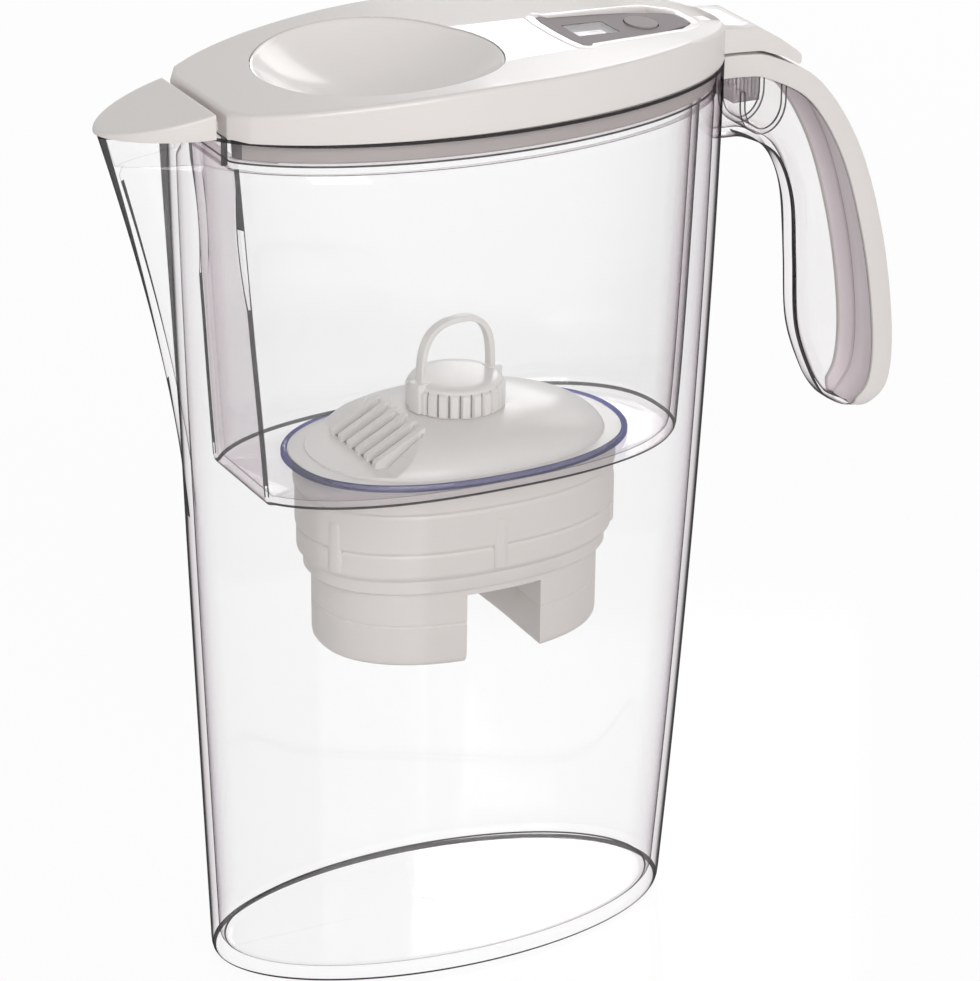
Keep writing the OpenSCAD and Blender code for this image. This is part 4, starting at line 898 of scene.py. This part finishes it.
# ---- stage ------------------------------------------------------------------------------------
# The camera looks at a point 15.1 mm to the right and 120.86 mm up in the picture's own directions, from so
# far away that a millimetre there is 3.45 pixels long.
PICTURE_PX, FOCAL_PX, PX_PER_MM = 980, 4500, 3.45
sc = bpy.context.scene
az, el, roll = math.radians(-27.35), math.radians(22.73), math.radians(0.60)
back = Vector((math.sin(az) * math.cos(el), -math.cos(az) * math.cos(el), math.sin(el)))
right = Vector((0, 0, 1)).cross(back).normalized()
up = back.cross(right)
cam_right = math.cos(roll) * right + math.sin(roll) * up
cam_up = -math.sin(roll) * right + math.cos(roll) * up
place = back * (FOCAL_PX / PX_PER_MM * MM) + cam_right * (15.1 * MM) + cam_up * (120.86 * MM)
cam = bpy.data.objects.new("camera", bpy.data.cameras.new("camera"))
cam.matrix_world = Matrix(((cam_right.x, cam_up.x, back.x, place.x),
                           (cam_right.y, cam_up.y, back.y, place.y),
                           (cam_right.z, cam_up.z, back.z, place.z), (0, 0, 0, 1)))
cam.data.sensor_fit = "HORIZONTAL"
cam.data.sensor_width = 36
cam.data.lens = 36 * FOCAL_PX / PICTURE_PX
cam.data.clip_end = 50
sc.collection.objects.link(cam)
sc.camera = cam

# A white room that the camera, the gloss and the glass see, and a softer one that lights the object.
world = bpy.data.worlds.new("studio")
sc.world = world
world.use_nodes = True
t = world.node_tree
t.nodes.clear()
path = add(t, "ShaderNodeLightPath")
seen = add(t, "ShaderNodeMath", {0: path.outputs["Is Camera Ray"], 1: path.outputs["Is Transmission Ray"]},
           operation="MAXIMUM")
seen = add(t, "ShaderNodeMath", {0: seen.outputs[0], 1: path.outputs["Is Glossy Ray"]}, operation="MAXIMUM")
# From a pale wall all round it falls off to a darker ceiling, which leaves level faces greyer than upright
# ones.
height = add(t, "ShaderNodeSeparateXYZ", {"Vector": add(t, "ShaderNodeTexCoord").outputs["Generated"]})
fall = add(t, "ShaderNodeMapRange", {"Value": height.outputs["Z"], "To Min": 0.72, "To Max": 0.3})
sky = add(t, "ShaderNodeBackground", {"Strength": fall.outputs[0]}, Color=(1, 1, 1, 1))
white = add(t, "ShaderNodeBackground", Strength=1.0, Color=(1, 1, 1, 1))
pick = add(t, "ShaderNodeMixShader", {"Fac": seen.outputs[0], 1: sky.outputs[0], 2: white.outputs[0]})
add(t, "ShaderNodeOutputWorld", {"Surface": pick.outputs[0]})


def lamp(name, at, size, power, aim=(0, 0, 0.14)):
    l = bpy.data.lights.new(name, "AREA")
    l.shape = "RECTANGLE"
    l.size, l.size_y = size
    l.energy = power
    o = bpy.data.objects.new(name, l)
    o.location = at
    o.rotation_euler = (Vector(aim) - Vector(at)).to_track_quat("-Z", "Y").to_euler()
    sc.collection.objects.link(o)
    return o


lamp("key_softbox", (-0.25, -1.25, 0.87), (0.9, 0.7), 10)
lamp("fill_softbox", (1.5, 0.9, 1.3), (0.9, 0.7), 4)
# A small lamp low behind, whose reflection whitens the level faces round the gauge.
lamp("back_striplight", (0.675, 1.082, 0.617), (0.26, 0.24), 1.2, (0.05, 0, 0.259))

# The table: white and slightly glossy. To the camera it glows a little, so that it ends as white as the
# photograph's, while shadows and reflections stay.
floor = bpy.data.objects.new("floor", bpy.data.meshes.new("floor"))
floor.data.from_pydata([(-4, -4, 0), (4, -4, 0), (4, 4, 0), (-4, 4, 0)], [], [(0, 1, 2, 3)])
sc.collection.objects.link(floor)
m, t = new_material("white_glossy_table")
path = add(t, "ShaderNodeLightPath")
top = add(t, "ShaderNodeBsdfPrincipled", {"Base Color": tone("fafbfa")}, Roughness=0.08)
glow = add(t, "ShaderNodeEmission", Strength=1.0, Color=(1, 1, 1, 1))
part = add(t, "ShaderNodeMath", {0: path.outputs["Is Camera Ray"], 1: 0.93}, operation="MULTIPLY")
both = add(t, "ShaderNodeMixShader", {"Fac": part.outputs[0], 1: top.outputs[0], 2: glow.outputs[0]})
add(t, "ShaderNodeOutputMaterial", {"Surface": both.outputs[0]})
floor.data.materials.append(m)

sc.cycles.transparent_max_bounces = 64
sc.cycles.max_bounces = 10
sc.view_settings.view_transform = "Standard"
